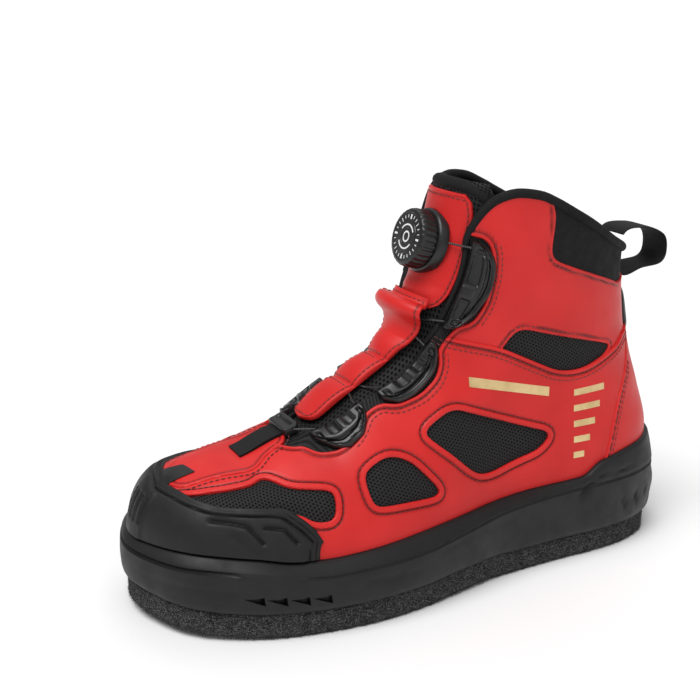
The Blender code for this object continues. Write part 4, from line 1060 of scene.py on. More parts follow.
def shaft_line(rows):
    """Line on the form from rows of (x in mm, place along the sole, height in mm)."""
    rows = np.array(rows, float)
    return settle(np.stack([rows[:, 0] * MM, to_y(rows[:, 1]), rows[:, 2] * MM], 1))


def over_back(lateral):
    """A line from the lateral side round the heel to the medial side."""
    return np.concatenate([lateral, mirror(lateral)[::-1]])


STATIONS = 200
ROWS = 100
feather = station_loop(UPPER_INSET, lambda along: cup_floor(along) + GAP, 0.0, STATIONS, 0.003)
half = len(feather) // 2
share = smooth(RIBS["along"], RIBS["share"], to_along(feather[:half, 1]))
share = 0.002 + (share - share[0]) / (share[-1] - share[0]) * 0.996
lateral_top = edge_at(share)
top_row = np.concatenate([lateral_top, settle(mirror(lateral_top[::-1]), rounds=5)])
base = drape_grid(feather, top_row, ROWS)
flat_base = base.reshape(-1, 3)
columns = base.shape[1]
across_steps = np.linalg.norm(np.roll(base, -1, 1) - base, axis=2)
reach_across = np.cumsum(across_steps, 1) - across_steps
reach_across -= reach_across[:, half:half + 1]
up_steps = np.linalg.norm(np.diff(base, axis=0), axis=2)
reach_up = np.concatenate([np.zeros((1, columns)), np.cumsum(up_steps, 0)])
shell = {
    "at": flat_base,
    "out": normals(flat_base),
    "uv": np.stack([reach_across.ravel(), reach_up.ravel()], 1),
    "faces": grid_triangles(ROWS + 1, columns, True),
}

# Outlines on the side: places along the sole with heights in mm
VAMP_WINDOW = [(.055, 62.6), (.083, 65.0), (.125, 67.4), (.167, 69.2), (.187, 71.8), (.219, 67.9),
               (.279, 66.3), (.284, 63.3), (.279, 56), (.269, 53.3), (.242, 53.9),
               (.225, 57.6), (.204, 58.6), (.14, 59.4), (.09, 58), (.055, 58)]
BALL_WINDOW = [(.381, 78.5), (.342, 73.2), (.335, 69.1), (.340, 59), (.352, 56.2), (.463, 54.5),
               (.470, 57.5), (.418, 74.8)]
ARCH_WINDOW = [(.509, 94.9), (.455, 86.9), (.457, 83.1), (.545, 60.1), (.579, 57.4), (.686, 64.1),
               (.709, 73), (.646, 79.3)]
ANKLE_WINDOW = [(.650, 130.2), (.631, 129.2), (.603, 118.4), (.723, 101), (.782, 100.5),
                (.852, 112.6)]
SEAM = [(.505, 131.0), (.513, 128.9), (.605, 122.1), (.723, 104.7), (.779, 104.2), (.863, 111.3),
        (.885, 115)]
COUNTER = [(.900, 104), (.891, 97), (.876, 91.9), (.855, 81.7), (.836, 67.9), (.822, 53.2),
           (.808, 40), (.80, 30)]
REAR = [(.690, 215), (.687, 195.8), (.697, 188), (.693, 167.7), (.706, 163.7), (.868, 145.2)]
# Outlines on the front: x in mm, places along the sole, heights in mm
THROAT_EDGE = [(10.9, .234, 81.0), (17.5, .252, 80.9), (18.6, .265, 81.6), (26.4, .283, 79.3),
               (30.3, .317, 80.9), (29.4, .346, 87.4), (25.7, .361, 93.2), (24.5, .369, 95.6),
               (24.7, .395, 99.6), (28.8, .419, 98.7), (29.7, .462, 102.7), (28.7, .492, 109.5),
               (26.8, .502, 116.8), (24.7, .500, 122.1), (25.2, .514, 127.4), (26.6, .531, 133.8),
               (29.6, .559, 135.6), (31.4, .578, 145.7), (32.2, .588, 160.4), (31.9, .587, 171.5),
               (30.4, .575, 177.5), (27.8, .556, 178.8), (24.0, .535, 181.0), (20.0, .510, 186.0)]
VAMP_PANEL = [(8.2, .070, 67.1), (13.5, .13, 71), (19.5, .182, 74.1), (13.2, .213, 79.4),
              (12.4, .245, 82.5), (0, .262, 84), (-14.4, .245, 82.5), (-15.2, .213, 79.4),
              (-23.5, .182, 74.1), (-23, .13, 70), (-25.5, .070, 64.5), (-9, .045, 66.5)]

windows = {}
for key, rows, corner in (("vamp", VAMP_WINDOW, 5), ("ball", BALL_WINDOW, 7),
                          ("arch", ARCH_WINDOW, 7), ("ankle", ANKLE_WINDOW, 5)):
    line = on_form(rounded(side_line(rows), corner * MM), 1.5 * MM)
    windows[key] = (line, settle(mirror(line)))
seam_line = over_back(on_form(rounded(side_line(SEAM), 9 * MM, closed=False), 2 * MM, False))
throat_half = on_form(rounded(shaft_line(THROAT_EDGE), 4 * MM, closed=False), 1.5 * MM, False)
throat_line = np.concatenate([mirror(throat_half)[::-1], throat_half])
rear_line = over_back(on_form(rounded(side_line(REAR[1:]), 5 * MM, closed=False), 2 * MM, False))
rear_line = np.concatenate([[rear_line[0] + (0, -1 * MM, 25 * MM)], rear_line,
                            [rear_line[-1] + (0, -1 * MM, 25 * MM)]])
counter_line = on_form(rounded(side_line(COUNTER), 9 * MM, closed=False), 2 * MM, False)
vamp_line = on_form(rounded(shaft_line(VAMP_PANEL), 5 * MM), 1.5 * MM)

at, out = shell["at"], shell["out"]
for key, (lateral, medial) in windows.items():
    near = at[:, 0] > 0
    distance = np.full(len(at), 0.5)
    distance[near] = line_distance(at[near], out[near], lateral)
    distance[~near] = line_distance(at[~near], out[~near], medial)
    shell[key] = distance
for name, line in (("seam", seam_line), ("throat", throat_line), ("rear", rear_line)):
    shell[name] = line_distance(at, out, line, False)
near = at[:, 0] > 0
behind = np.empty(len(at))
behind[near] = line_distance(at[near], out[near], counter_line, False)
behind[~near] = line_distance(mirror(at[~near]), mirror(out[~near]), counter_line, False)
shell["behind"] = behind
shell["vamp_panel"] = -line_distance(at, out, vamp_line)
# Each distance counts as positive on the side where its probe lies
for name, probe in (("seam", (0.6, 80)), ("throat", (0.6, 100)), ("rear", (0.6, 100)),
                    ("behind", (0.95, 70))):
    spot = side_line([probe])[0]
    if shell[name][((at - spot)**2).sum(1).argmin()] < 0:
        shell[name] = -shell[name]


def lip_shape(distance, radius):
    """Drop of a rounded border, in metres, for a distance from it."""
    fall = np.clip(1 - distance / radius, 0, 1)
    return -radius * (1 - np.sqrt(np.clip(1 - fall**2, 0, 1)))


def edge_shape(distance, lip=0.7, bead=0.5, wide=2.5, groove=3.6, deep=0.45):
    """Rise of a panel near its edge: a rounded lip, a raised bead, then a sewn groove. In mm."""
    d = distance / MM
    shape = 0.55 / lip * lip_shape(d, lip) + bead * (1 - ease(wide, wide + 0.7, d))
    return (shape - deep * bell(d, groove, 0.55)) * MM


def wrinkles(points):
    """Soft troughs where the upper bends and where the leather is drawn in, in metres."""
    rows = (
        (0.500, 112, 0.58, 104, 0.35, 5), (0.520, 121, 0.60, 116, 0.30, 4),
        (0.40, 92, 0.47, 84, 0.30, 5), (0.60, 150, 0.66, 166, 0.30, 6),
        (0.62, 138, 0.72, 140, 0.25, 5), (0.90, 120, 0.80, 124, 0.30, 4),
        (0.30, 46, 0.33, 74, 0.25, 6), (0.49, 50, 0.53, 70, 0.2, 5))
    total = np.zeros(len(points))
    for a0, z0, a1, z1, depth, wide in rows:
        a = np.array([to_y(a0), z0 * MM])
        b = np.array([to_y(a1), z1 * MM])
        t, apart = from_segment(points[:, 1:], a, b)
        apart = np.linalg.norm(apart, axis=1)
        total -= depth * MM * bell(apart, 0, wide * MM) * (0.4 + 0.6 * np.sin(np.pi * t))
    return total * (np.abs(points[:, 0]) > 12 * MM)


# Cloth of the upper, seen in the windows and between the red edge and the tongue
inside = np.minimum.reduce([shell[key] for key in windows])
puff = 0.55 * MM * ease(0, 7 * MM, -inside)
outer = flat_base + out * (-0.95 * MM + puff + wrinkles(flat_base))[:, None]
outer[:columns] = base[0] + out[:columns] * -1.0 * MM
inner = flat_base - out * UPPER_WALL
count = len(flat_base)


def wall_faces(a, b):
    """Faces between the outside and the inside, along edges from a to b."""
    return np.concatenate([np.stack([a, b, b + count], 1), np.stack([a, b + count, a + count], 1)])


foot_row = np.arange(columns)
rim_row = foot_row + count - columns
rim = wall_faces(rim_row, np.roll(rim_row, -1))
foot = wall_faces(np.roll(foot_row, -1), foot_row)
faces = np.concatenate([shell["faces"], shell["faces"][:, ::-1] + count, rim, foot])
middle = shell["rear"][shell["faces"]].mean(1) < 0
which = np.concatenate([np.where(middle, 2, 0), np.ones(len(shell["faces"]), int),
                        np.full(len(rim), 2), np.zeros(len(foot), int)])
cloth = np.concatenate([shell["uv"], shell["uv"]])
add_piece("upper_cloth", np.concatenate([outer, inner]), faces, [KNIT, LINING, NEOPRENE],
          50, None, cloth, which, ("upper",))


def panel(name, mesh, rise, low, edges):
    """Red panel: its height over the form, its edges' shapes and painted shade that darkens its
    grooves.
    """
    high = np.full(len(mesh["at"]), rise) + wrinkles(mesh["at"])
    groove = np.zeros(len(mesh["at"]))
    for distance, options in edges:
        high = high + edge_shape(distance, **options)
        where = options.get("groove", 3.6)
        # Painted shade: how much the red is darkened in the sewn groove near each edge
        groove = np.maximum(groove, 0.9 * bell(distance / MM, where, 0.55))
    mesh["groove"] = groove
    return overlay(name, mesh, high, low, RED, ("groove",), uv="uv")


def rows_at(mesh, name, levels):
    """Give a mesh rows of points where a distance has each of the levels in mm."""
    for level in levels:
        mesh = split(mesh, name, level * MM)
    return mesh


# Lower quarter, with its windows and the scalloped edge along the guides
THROAT_LEVELS = (0.6, 1.4, 2.0, 2.6)
quarter = dict(shell)
for name in ("seam", "throat", "vamp", "ball", "arch"):
    quarter = keep(quarter, name)
quarter["window"] = np.minimum.reduce([quarter[k] for k in ("vamp", "ball", "arch")])
for name, levels in (("window", (0.7, 2.5, 3.1, 3.6, 4.2)), ("throat", THROAT_LEVELS),
                     ("seam", (0.6, 1.6, 2.2, 2.8))):
    quarter = rows_at(quarter, name, levels)
throat_shape = dict(lip=0.6, bead=0.45, wide=1.5, groove=2.4, deep=0.45)
seam_shape = dict(lip=0.6, bead=0.35, wide=1.6, groove=2.5, deep=0.4)
panel("lower_quarter", quarter,
      0.45 * MM + 0.5 * MM * (1 - ease(0, 16 * MM, quarter["seam"])), -1.1 * MM,
      [(quarter["window"], {}), (quarter["throat"], throat_shape),
       (quarter["seam"], seam_shape)])

ankle = dict(shell)
ankle["above"] = 4 * MM - ankle["seam"]
for name in ("above", "throat", "ankle", "rear"):
    ankle = keep(ankle, name)
for name, levels in (("throat", THROAT_LEVELS), ("ankle", (0.7,)), ("rear", (0.7,))):
    ankle = rows_at(ankle, name, levels)
flat_shape = dict(lip=0.7, bead=0.15, wide=1.4, groove=2.2, deep=0.3)
panel("ankle_panel", ankle, 0.0, -1.1 * MM,
      [(ankle["throat"], throat_shape), (ankle["ankle"], flat_shape),
       (ankle["rear"], flat_shape)])

vamp = keep(dict(shell), "vamp_panel")
vamp = split(vamp, "vamp_panel", 0.7 * MM)
panel("vamp_panel", vamp, 0.95 * MM, -1.0 * MM, [(vamp["vamp_panel"], flat_shape)])

counter = keep(dict(shell), "behind")
counter["below"] = counter["seam"] - 3.2 * MM
counter = keep(counter, "below")
counter = split(split(counter, "behind", 0.7 * MM), "below", 0.7 * MM)
panel("heel_counter", counter, 1.0 * MM, 0.2 * MM,
      [(counter["behind"], flat_shape), (counter["below"], flat_shape)])


def parallel(line, away, closed=True):
    """Line on the form at a distance to the left of a line."""
    ahead = np.gradient(line, axis=0) if not closed else np.roll(line, -1, 0) - np.roll(line, 1, 0)
    return settle(line + unit(np.cross(normals(line), ahead)) * away)


def outward(line, away):
    """Closed line on the form outside a closed line."""
    middle = line.mean(0)
    options = [parallel(line, away), parallel(line, -away)]
    return max(options, key=lambda moved: np.linalg.norm(moved - middle, axis=1).mean())


def beside(line, away, probe):
    """Open line on the form at a distance from a line, on the side where a point lies."""
    options = [parallel(line, away, False), parallel(line, -away, False)]
    near = [((option - probe)**2).sum(1).min() for option in options]
    return options[int(near[1] < near[0])]


def sew(line, low, high, rise):
    """Stitch the parts of a line that lie between two heights in mm."""
    inside_at = np.nonzero((line[:, 2] > low * MM) & (line[:, 2] < high * MM))[0]
    for part in np.split(inside_at, np.nonzero(np.diff(inside_at) > 1)[0] + 1):
        if len(part) > 3:
            red_stitches.run(line[part], rise)


red_stitches = Stitches()
for key in ("vamp", "ball", "arch"):
    for line in windows[key]:
        red_stitches.run(outward(line, 3.6 * MM), 0.3 * MM, closed=True)
for line in windows["ankle"]:
    sew(outward(line, 2.2 * MM), 112, 200, 0.05 * MM)
below_seam = side_line([(.60, 80)])[0]
for away, rise in ((2.5, 0.85), (5.0, 0.95)):
    red_stitches.run(beside(seam_line, away * MM, below_seam), rise * MM)
for sign in (-1, 1):
    half_line = throat_half if sign == 1 else mirror(throat_half)
    red_side = side_line([(.45, 80)], sign)[0]
    for away in (2.4, 4.8):
        inner_line = beside(half_line, away * MM, red_side)
        sew(inner_line, 82, 122, (0.45 if away < 3 else 0.6) * MM)
        sew(inner_line, 133, 176, 0.1 * MM)
    edge = rear_line[rear_line[:, 0] * sign > 8 * MM]
    sew(beside(edge, 2.2 * MM, side_line([(.60, 150)], sign)[0]), 120, 168, 0.05 * MM)
    edge = counter_line if sign == 1 else mirror(counter_line)
    for away in (2.2, 4.4):
        sew(beside(edge, away * MM, side_line([(.95, 70)], sign)[0]), 42, 100, 1.0 * MM)
red_stitches.run(parallel(vamp_line, -2.2 * MM), 0.85 * MM, closed=True)
red_stitches.make("red_stitches", RED_THREAD)


def bar_mesh(corners, rows=24, columns=8):
    """Grid of triangles on the form between four corners."""
    a, b, c, d = (np.asarray(corner) for corner in corners)
    s = np.linspace(0, 1, rows)[:, None, None]
    t = np.linspace(0, 1, columns)[None, :, None]
    grid = (a * (1 - s) + b * s) * (1 - t) + (d * (1 - s) + c * s) * t
    grid = settle(grid.reshape(-1, 3)).reshape(rows, columns, 3)
    mesh = {"at": grid.reshape(-1, 3), "faces": grid_triangles(rows, columns)}
    mesh["out"] = normals(mesh["at"])
    first = mesh["at"][mesh["faces"][0]]
    if np.cross(first[1] - first[0], first[2] - first[0]) @ mesh["out"][0] < 0:
        mesh["faces"] = mesh["faces"][:, ::-1]
    return mesh


def joined(meshes):
    """One mesh of several."""
    counts = np.cumsum([0] + [len(mesh["at"]) for mesh in meshes])
    result = {key: np.concatenate([mesh[key] for mesh in meshes]) for key in ("at", "out")}
    result["faces"] = np.concatenate([mesh["faces"] + n for mesh, n in zip(meshes, counts)])
    return result


# Plain gold bars: a long one along the seam and five short ones in front of the heel
SHORT_BAR, BAR_STEP, BAR_SHRINK = 3.4, 8.5, 0.012
GOLD_BARS = [((.548, 108.5), (.700, 98.0), (.700, 93.0), (.548, 103.5))]
for k in range(5):
    top, end = 94.2 - BAR_STEP * k, .822 - BAR_SHRINK * k
    low = top - SHORT_BAR
    GOLD_BARS.append(((.752, top), (end, top), (end, low), (.752, low)))
bars = joined([bar_mesh(side_line(bar, sign)) for bar in GOLD_BARS for sign in (1, -1)])
from_seam = np.abs(line_distance(bars["at"], bars["out"], seam_line, False))
bar_rise = 0.45 * MM + wrinkles(bars["at"]) + 0.5 * MM * (1 - ease(0, 16 * MM, from_seam))
overlay("gold_bars", bars, bar_rise + 0.14 * MM, 0.2 * MM, GOLD, sharp=60)

PATCH = ((-19.5, .045, 64.0), (0.2, .045, 65.5), (2.1, .103, 70.9), (-8.8, .096, 70.9))
patch = bar_mesh(shaft_line(PATCH), 24, 16)
overlay("vamp_patch", patch, 1.5 * MM, 0.7 * MM, PLASTIC)


# Sole
def loops_piece(name, loops, materials, replaces=(), sharp=38, fields=None):
    """Skin loops round the sole one above the other and close the first and the last."""
    count = len(loops[0])
    cap = [(i, i + 1, count - 2 - i, count - 1 - i) for i in range(count // 2 - 1)]
    faces = [tuple(reversed(f)) for f in cap]
    last = count * (len(loops) - 1)
    faces += [tuple(last + i for i in f) for f in cap]
    faces += ring_faces(len(loops), count)
    return add_piece(name, np.concatenate(loops), faces, materials, sharp, fields, None, None,
                     replaces)


def cut(piece, cutter):
    """Cut a closed tool out of a piece and remove the tool."""
    modifier = piece.modifiers.new("cut", "BOOLEAN")
    modifier.operation, modifier.solver, modifier.use_self = "DIFFERENCE", "EXACT", True
    modifier.object = cutter
    evaluated = piece.evaluated_get(bpy.context.evaluated_depsgraph_get())
    mesh = bpy.data.meshes.new_from_object(evaluated)
    mesh.materials.clear()
    for material in piece.data.materials:
        mesh.materials.append(material)
    piece.modifiers.clear()
    piece.data = mesh
    mesh.shade_smooth()
    mesh.set_sharp_from_angle(angle=math.radians(38))
    bpy.data.objects.remove(cutter, do_unlink=True)


def tool(vertices, faces):
    """A closed cutting tool."""
    mesh = bpy.data.meshes.new("cutter")
    vertices = np.asarray(vertices, float) + SHIFT
    mesh.from_pydata(vertices.tolist(), [], [tuple(int(i) for i in f) for f in faces])
    body = bmesh.new()
    body.from_mesh(mesh)
    bmesh.ops.recalc_face_normals(body, faces=body.faces)
    body.to_mesh(mesh)
    body.free()
    piece = bpy.data.objects.new("cutter", mesh)
    bpy.context.collection.objects.link(piece)
    return piece


def prisms(ends):
    """Closed prisms in one list of points and faces, from pairs of outlines."""
    vertices, faces = [], []
    for pair in ends:
        faces += closed_rings(2, len(pair[0]), len(vertices))
        for outline in pair:
            vertices += list(outline)
    return vertices, faces


def upright(outline):
    """Level outlines of a prism that goes through the felt."""
    return [[(x, y, z) for x, y in outline] for z in (-1 * MM, FOOT_FLOOR)]


def circle(centre, radius, sides):
    angle = circle_turns(sides)
    return np.asarray(centre) + radius * np.stack([np.cos(angle), np.sin(angle)], 1)


def tread_outlines(grow, points=40):
    outlines = []
    for across, along, half_across, half_along, lobes, depth, turn in zip(*TREADS.values()):
        angle = circle_turns(points)
        radius = 1 + depth * np.cos(lobes * (angle - math.radians(turn)))
        x = across * BALL_WIDTH / 2 + (half_across * BALL_WIDTH / 2 * radius + grow) * np.cos(angle)
        y = to_y(along) + (half_along * SOLE_LENGTH * radius + grow) * np.sin(angle)
        outlines.append(np.stack([x, y], 1))
    return outlines


def ripple(loop, size, waves, seed):
    """Uneven shift along a closed loop, from a few waves."""
    random = np.random.default_rng(seed)
    t = np.linspace(0, 2 * np.pi, len(loop), endpoint=False)
    total = np.zeros(len(loop))
    for _ in range(waves):
        total += np.sin(random.integers(3, 120) * t + random.uniform(0, 6.28))
    return size * total / math.sqrt(waves)


def plan_out(loop):
    """Level outward directions of a loop."""
    ahead = np.roll(loop, -1, 0) - np.roll(loop, 1, 0)
    return unit(np.stack([ahead[:, 1], -ahead[:, 0], np.zeros(len(loop))], 1))


FINE = 170
centres = np.stack([STUDS["across"] * BALL_WIDTH / 2, to_y(STUDS["along"])], 1)
STUD_SEAT = 7 * MM


def fine_loop(inset, height, offset=None):
    """Loop round the sole with many points."""
    return station_loop(inset, height, offset, FINE, 0.003)


# Rows of the felt's skin: inset and rise in mm, share of the felt's thickness
felt_rows = ((5.0, 0.0, 0.0), (1.3, 0.0, 0.0), (0.55, 0.3, 0.0), (0.15, 0.9, 0.0), (0.0, 2.0, 0.0),
             (0.0, 0.0, 0.30), (0.0, 0.0, 0.45), (0.0, 0.0, 0.60), (0.0, 0.0, 0.75),
             (0.0, 0.0, 0.88), (0.1, 0.0, 0.95), (0.6, 0.0, 1.0))
loops = []
for k, (inset, rise, part) in enumerate(felt_rows):
    loop = fine_loop(inset * MM, lambda along: lift(along) + max(rise * MM, part * FELT_THICKNESS))
    if 0 < k:
        loop = loop + plan_out(loop) * ripple(loop, 0.16 * MM, 14, k)[:, None]
        if 1 < k < len(felt_rows) - 1:
            loop[:, 2] += ripple(loop, 0.10 * MM, 14, 50 + k)
    loops.append(loop)
sole_felt = loops_piece("felt_sole", loops, FELT, ("felt_outsole",), 60)
holes = [circle(c, STUD_SEAT + GAP, 28) for c in centres] + tread_outlines(GAP)
cut(sole_felt, tool(*prisms([upright(hole) for hole in holes])))

# Thin seams between the felt's pieces, as shallow slits in the underside: (across, along) lines
SLITS = (
    ((0.49, 0.202), (1.05, 0.185)), ((0.12, 0.087), (0.02, -0.02)), ((-0.36, 0.087), (-0.85, 0.05)),
    ((-0.58, 0.228), (-1.05, 0.24)), ((0.59, 0.326), (1.06, 0.34)), ((0.54, 0.438), (1.04, 0.45)),
    ((-0.56, 0.369), (-1.05, 0.38)), ((0.32, 0.648), (0.98, 0.655)), ((-0.34, 0.645), (-0.98, 0.64)),
    ((0.24, 0.785), (0.92, 0.79)), ((-0.39, 0.72), (-0.98, 0.725)), ((0.12, 0.087), (-0.36, 0.087)),
    ((0.59, 0.326), (0.15, 0.40)), ((0.54, 0.438), (0.15, 0.42)), ((-0.56, 0.369), (-0.15, 0.41)),
    ((0.32, 0.648), (0.16, 0.70)), ((-0.34, 0.645), (0.05, 0.70)), ((0.02, 0.93), (0.02, 1.03)))
SLIT_PARTS, SLIT_HALF, SLIT_DEPTH = 8, 0.28 * MM, 0.9 * MM
slit_ends = []
for (x0, a0), (x1, a1) in SLITS:
    start = np.array([x0 * BALL_WIDTH / 2, to_y(a0)])
    end = np.array([x1 * BALL_WIDTH / 2, to_y(a1)])
    way = unit(end - start)
    start = start + way * (STUD_SEAT - 1 * MM)
    side = np.array([-way[1], way[0]]) * SLIT_HALF
    for k in range(SLIT_PARTS):
        pair = []
        for step in (k, k + 1.02):
            point = start + (end - start) * step / SLIT_PARTS
            high = float(lift(to_along(point[1]))) + SLIT_DEPTH
            pair.append([(*(point + side * s), z)
                         for s, z in ((-1, -1 * MM), (-1, high), (1, high), (1, -1 * MM))])
        slit_ends.append(pair)
cut(sole_felt, tool(*prisms(slit_ends)))


def add_fuzz():
    """Loose fibres on the side and the lower edge of the felt, joined in one mesh."""
    random = np.random.default_rng(7)
    outline = fine_loop(0, lift)
    way = plan_out(outline)
    number = 16000
    place = random.integers(0, len(outline), number)
    point = outline[place] + (np.roll(outline, -1, 0)[place] - outline[place]) * random.random(
        (number, 1))
    point[:, 2] += np.where(random.random(number) < 0.25, random.random(number) * 0.8 * MM,
                            random.random(number) * FELT_THICKNESS * 0.95)
    outward_way = way[place]
    along_way = np.cross(outward_way, (0, 0, 1.0))
    mix = random.normal(size=(number, 3)) * (0.30, 1.0, 0.75)
    lie = (outward_way * (np.abs(mix[:, :1]) + 0.12) + along_way * mix[:, 1:2]
           + np.array([0, 0, 1.0]) * mix[:, 2:])
    lie = unit(lie)
    size = random.uniform(0.5, 1.7, number)[:, None] * MM
    cross = np.cross(lie, outward_way)
    cross /= np.linalg.norm(cross, axis=1)[:, None] + 1e-9
    wide = random.uniform(0.035, 0.075, number)[:, None] * MM
    root = point - outward_way * 0.15 * MM
    bend = outward_way * random.uniform(0.0, 0.25, number)[:, None] * MM
    middle = root + lie * size * 0.55 + bend
    end = root + lie * size + bend * 0.4
    rows = np.stack([root - cross * wide, root + cross * wide, middle + cross * wide * 0.8,
                     middle - cross * wide * 0.8, end], 1).reshape(-1, 3)
    rows[:, 2] = np.maximum(rows[:, 2], 0.02 * MM)
    first = np.arange(number)[:, None] * 5
    quads = (first + np.array([0, 1, 2, 3])).tolist()
    tips = (first + np.array([3, 2, 4])).tolist()
    add_piece("felt_fibres", rows, quads + tips, FELT, None)


add_fuzz()

BEVEL = 2.2 * MM
LIP = 1.2 * MM
GROOVE = 1.3 * MM


def platform(step):
    return lambda along: felt_top(along) + GAP + step


def between(part):
    """Height between the end of the lower bevel and the groove."""
    def height(along):
        low = felt_top(along) + GAP + 2 * BEVEL
        return low + (groove_height(along) - LIP - low) * part
    return height


def groove(step):
    return lambda along: groove_height(along) + step


def rim_at(part):
    return lambda along: groove_height(along) + (rim_height(along) - groove_height(along)) * part


rows = [fine_loop(6 * MM, platform(0)), fine_loop(0, platform(0)),
        fine_loop(-0.40 * OVERHANG, platform(0.25 * BEVEL)),
        fine_loop(-0.70 * OVERHANG, platform(0.7 * BEVEL)),
        fine_loop(-0.90 * OVERHANG, platform(1.3 * BEVEL)),
        fine_loop(-OVERHANG, platform(2 * BEVEL))]
first_wall = len(rows)
rows += [fine_loop(-OVERHANG - 0.35 * MM * math.sin(math.pi * t), between(t))
         for t in (0.15, 0.3, 0.45, 0.6, 0.75, 0.88, 1.0)]
# The groove fades out where the toe's side turns into the ball's side
place = to_along(rows[0][:, 1])
deep = 1 - ease(0.12, 0.16, place) * (0.95 - 0.6 * ease(0.21, 0.25, place))
# Painted shade: dark holds how much the rubber is darkened in the midsole's long groove and, below,
# in its carvings
dark = [np.zeros(len(place)) for _ in rows]
for step, share in ((-0.85, 0.55), (-0.4, 0.92), (0.0, 1.0), (0.45, 0.9), (0.9, 0.5), (1.2, 0.3)):
    loop = fine_loop(-OVERHANG, groove(step * MM))
    toe = 1 + 0.7 * (1 - ease(0.08, 0.14, place))
    rows.append(loop - plan_out(loop) * (GROOVE * share * deep * toe)[:, None])
    dark.append(0.95 * ease(0.5, 1.0, share) * ease(0.3, 1.0, deep))
low_rand = rows[-1]
high_rand = fine_loop(UPPER_INSET, rim_at(1), GAP + RIM_WALL)
for t in (0.12, 0.25, 0.4, 0.55, 0.7, 0.82, 0.92):
    loop = low_rand + (high_rand - low_rand) * t
    rows.append(loop + plan_out(loop) * 0.5 * MM * math.sin(math.pi * t) ** 0.7)
rim_out = fine_loop(UPPER_INSET, lambda a: rim_height(a) - 0.5 * MM, GAP + RIM_WALL)
rows += [rim_out,
         fine_loop(UPPER_INSET, lambda a: rim_height(a) - 0.12 * MM, GAP + RIM_WALL - 0.35 * MM),
         fine_loop(UPPER_INSET, rim_at(1), GAP + 0.6 * RIM_WALL),
         fine_loop(UPPER_INSET, rim_at(1), GAP + 0.1 * MM),
         fine_loop(UPPER_INSET, lambda a: rim_height(a) - 2.5 * MM, GAP * 0.5),
         fine_loop(UPPER_INSET, cup_floor, GAP)]

# Relief on the outside of the midsole: lines of (along, height, ...) with a width and a depth
CARVINGS = (
    (((.80, 45.0), (.82, 45.9), (.90, 45.3), (.93, 45.5)), 0.6, 0.8),
    (((.757, 36.0), (.785, 42.5)), 1.9, 1.2),
    (((.31, 24.6), (.375, 25.0)), 0.9, 0.6), (((.34, 22.6), (.41, 23.2)), 0.9, 0.6),
    (((.46, 30.5), (.62, 33.5)), 1.1, 0.4), (((.01, 27), (.06, 27.5), (.13, 26.5)), 0.9, 0.5),
    (((.858, 27.5), (.868, 23.5)), 1.0, 1.1), (((.893, 28.5), (.902, 24.5)), 1.0, 1.1),
    (((.922, 30), (.930, 26)), 1.0, 1.1))
dark += [np.zeros(len(place)) for _ in range(len(rows) - len(dark))]
for k in range(first_wall - 2, len(rows) - 5):
    loop = rows[k]
    z = loop[:, 2] / MM
    shift = np.zeros(len(loop))
    for line, wide, depth in CARVINGS:
        path = [np.array([to_y(along), height * MM]) for along, height in line]
        shift -= depth * MM * bell(line_gap(loop[:, 1:], path), 0, wide * MM)
    # Painted shade: the carved hollows are darkened by their depth
    dark[k] = np.maximum(dark[k], np.clip(-shift / MM, 0, 0.85))
    bulge = bell(place, 0.99, 0.07) * (1.5 * bell(z, 29, 4.5) - 0.8 * bell(z, 38, 2.5))
    rows[k] = loop + plan_out(loop) * (shift + bulge * MM)[:, None]
# The groove field carries this painted shade into the rubber's colour
midsole = loops_piece("rubber_cup", rows, RUBBER, ("midsole",), 50,
                      {"groove": np.concatenate(dark)})

# Arrow-shaped notches low in the toe's sides: corners along and above their middles, in mm
NOTCH = ((-5.2, 1.6), (4.6, -2.6), (3.8, 2.2), (0.4, 1.6))
outline = plan(-OVERHANG)
notch_ends = []
for along in (0.135, 0.168, 0.203, 0.238):
    y = to_y(along)
    for sign in (1, -1):
        wall = outline[outline[:, 0] * sign > 0]
        wall = wall[wall[:, 1].argsort()]
        x = np.interp(y, wall[:, 1], wall[:, 0])
        z = float(felt_top(along)) + 0.40 * (float(groove_height(along)) - float(felt_top(along)))
        notch_ends.append([[(x + depth * sign, y + ahead * MM, z + up * MM) for ahead, up in NOTCH]
                           for depth in (-1.9 * MM, 3 * MM)])
cut(midsole, tool(*prisms(notch_ends)))


def turned_pieces(name, profile, sides, material, centres, axis=(0.0, 0.0, 1.0),
                  replaces=(), ribs=None, sharp=38):
    """Solids of revolution from (radius, height) rows in mm, joined in one mesh."""
    across = np.array([1.0, 0.0, 0.0])
    other = np.cross(axis, across)
    angle = circle_turns(sides)
    vertices, faces = [], []
    for number, centre in enumerate(centres):
        for k, (radius, height) in enumerate(profile):
            r = radius + (0 if ribs is None else ribs(angle, k)) + np.zeros(sides)
            ring = r[:, None] * MM * (across * np.cos(angle)[:, None]
                                      + other * np.sin(angle)[:, None])
            vertices.append(np.asarray(centre) + np.asarray(axis) * height * MM + ring)
        faces += closed_rings(len(profile), sides, number * len(profile) * sides,
                              profile[-1][1] < profile[0][1])
    return add_piece(name, np.concatenate(vertices), faces, material, sharp,
                     replaces=replaces)


seat_profile = ((7.0, 10.0), (7.0, 3.3), (6.7, 3.0), (5.9, 3.0), (5.5, 3.4), (4.6, 4.4),
                (3.9, 4.6), (3.6, 4.4), (3.4, 4.0), (3.2, 4.0))
stud_profile = ((3.0, 6.0), (3.0, 2.9), (2.7, 2.45), (1.75, 2.15), (1.4, 2.0), (1.3, 0.9),
                (1.05, 0.5), (0.5, 0.42))
stud_places = [(x, y, float(lift(to_along(y)))) for x, y in centres]
turned_pieces("stud_seats", seat_profile, 36, RUBBER, stud_places)
turned_pieces("steel_studs", stud_profile, 24, STEEL, stud_places,
              replaces=[f"stud_{k:02d}" for k in range(1, 12)])

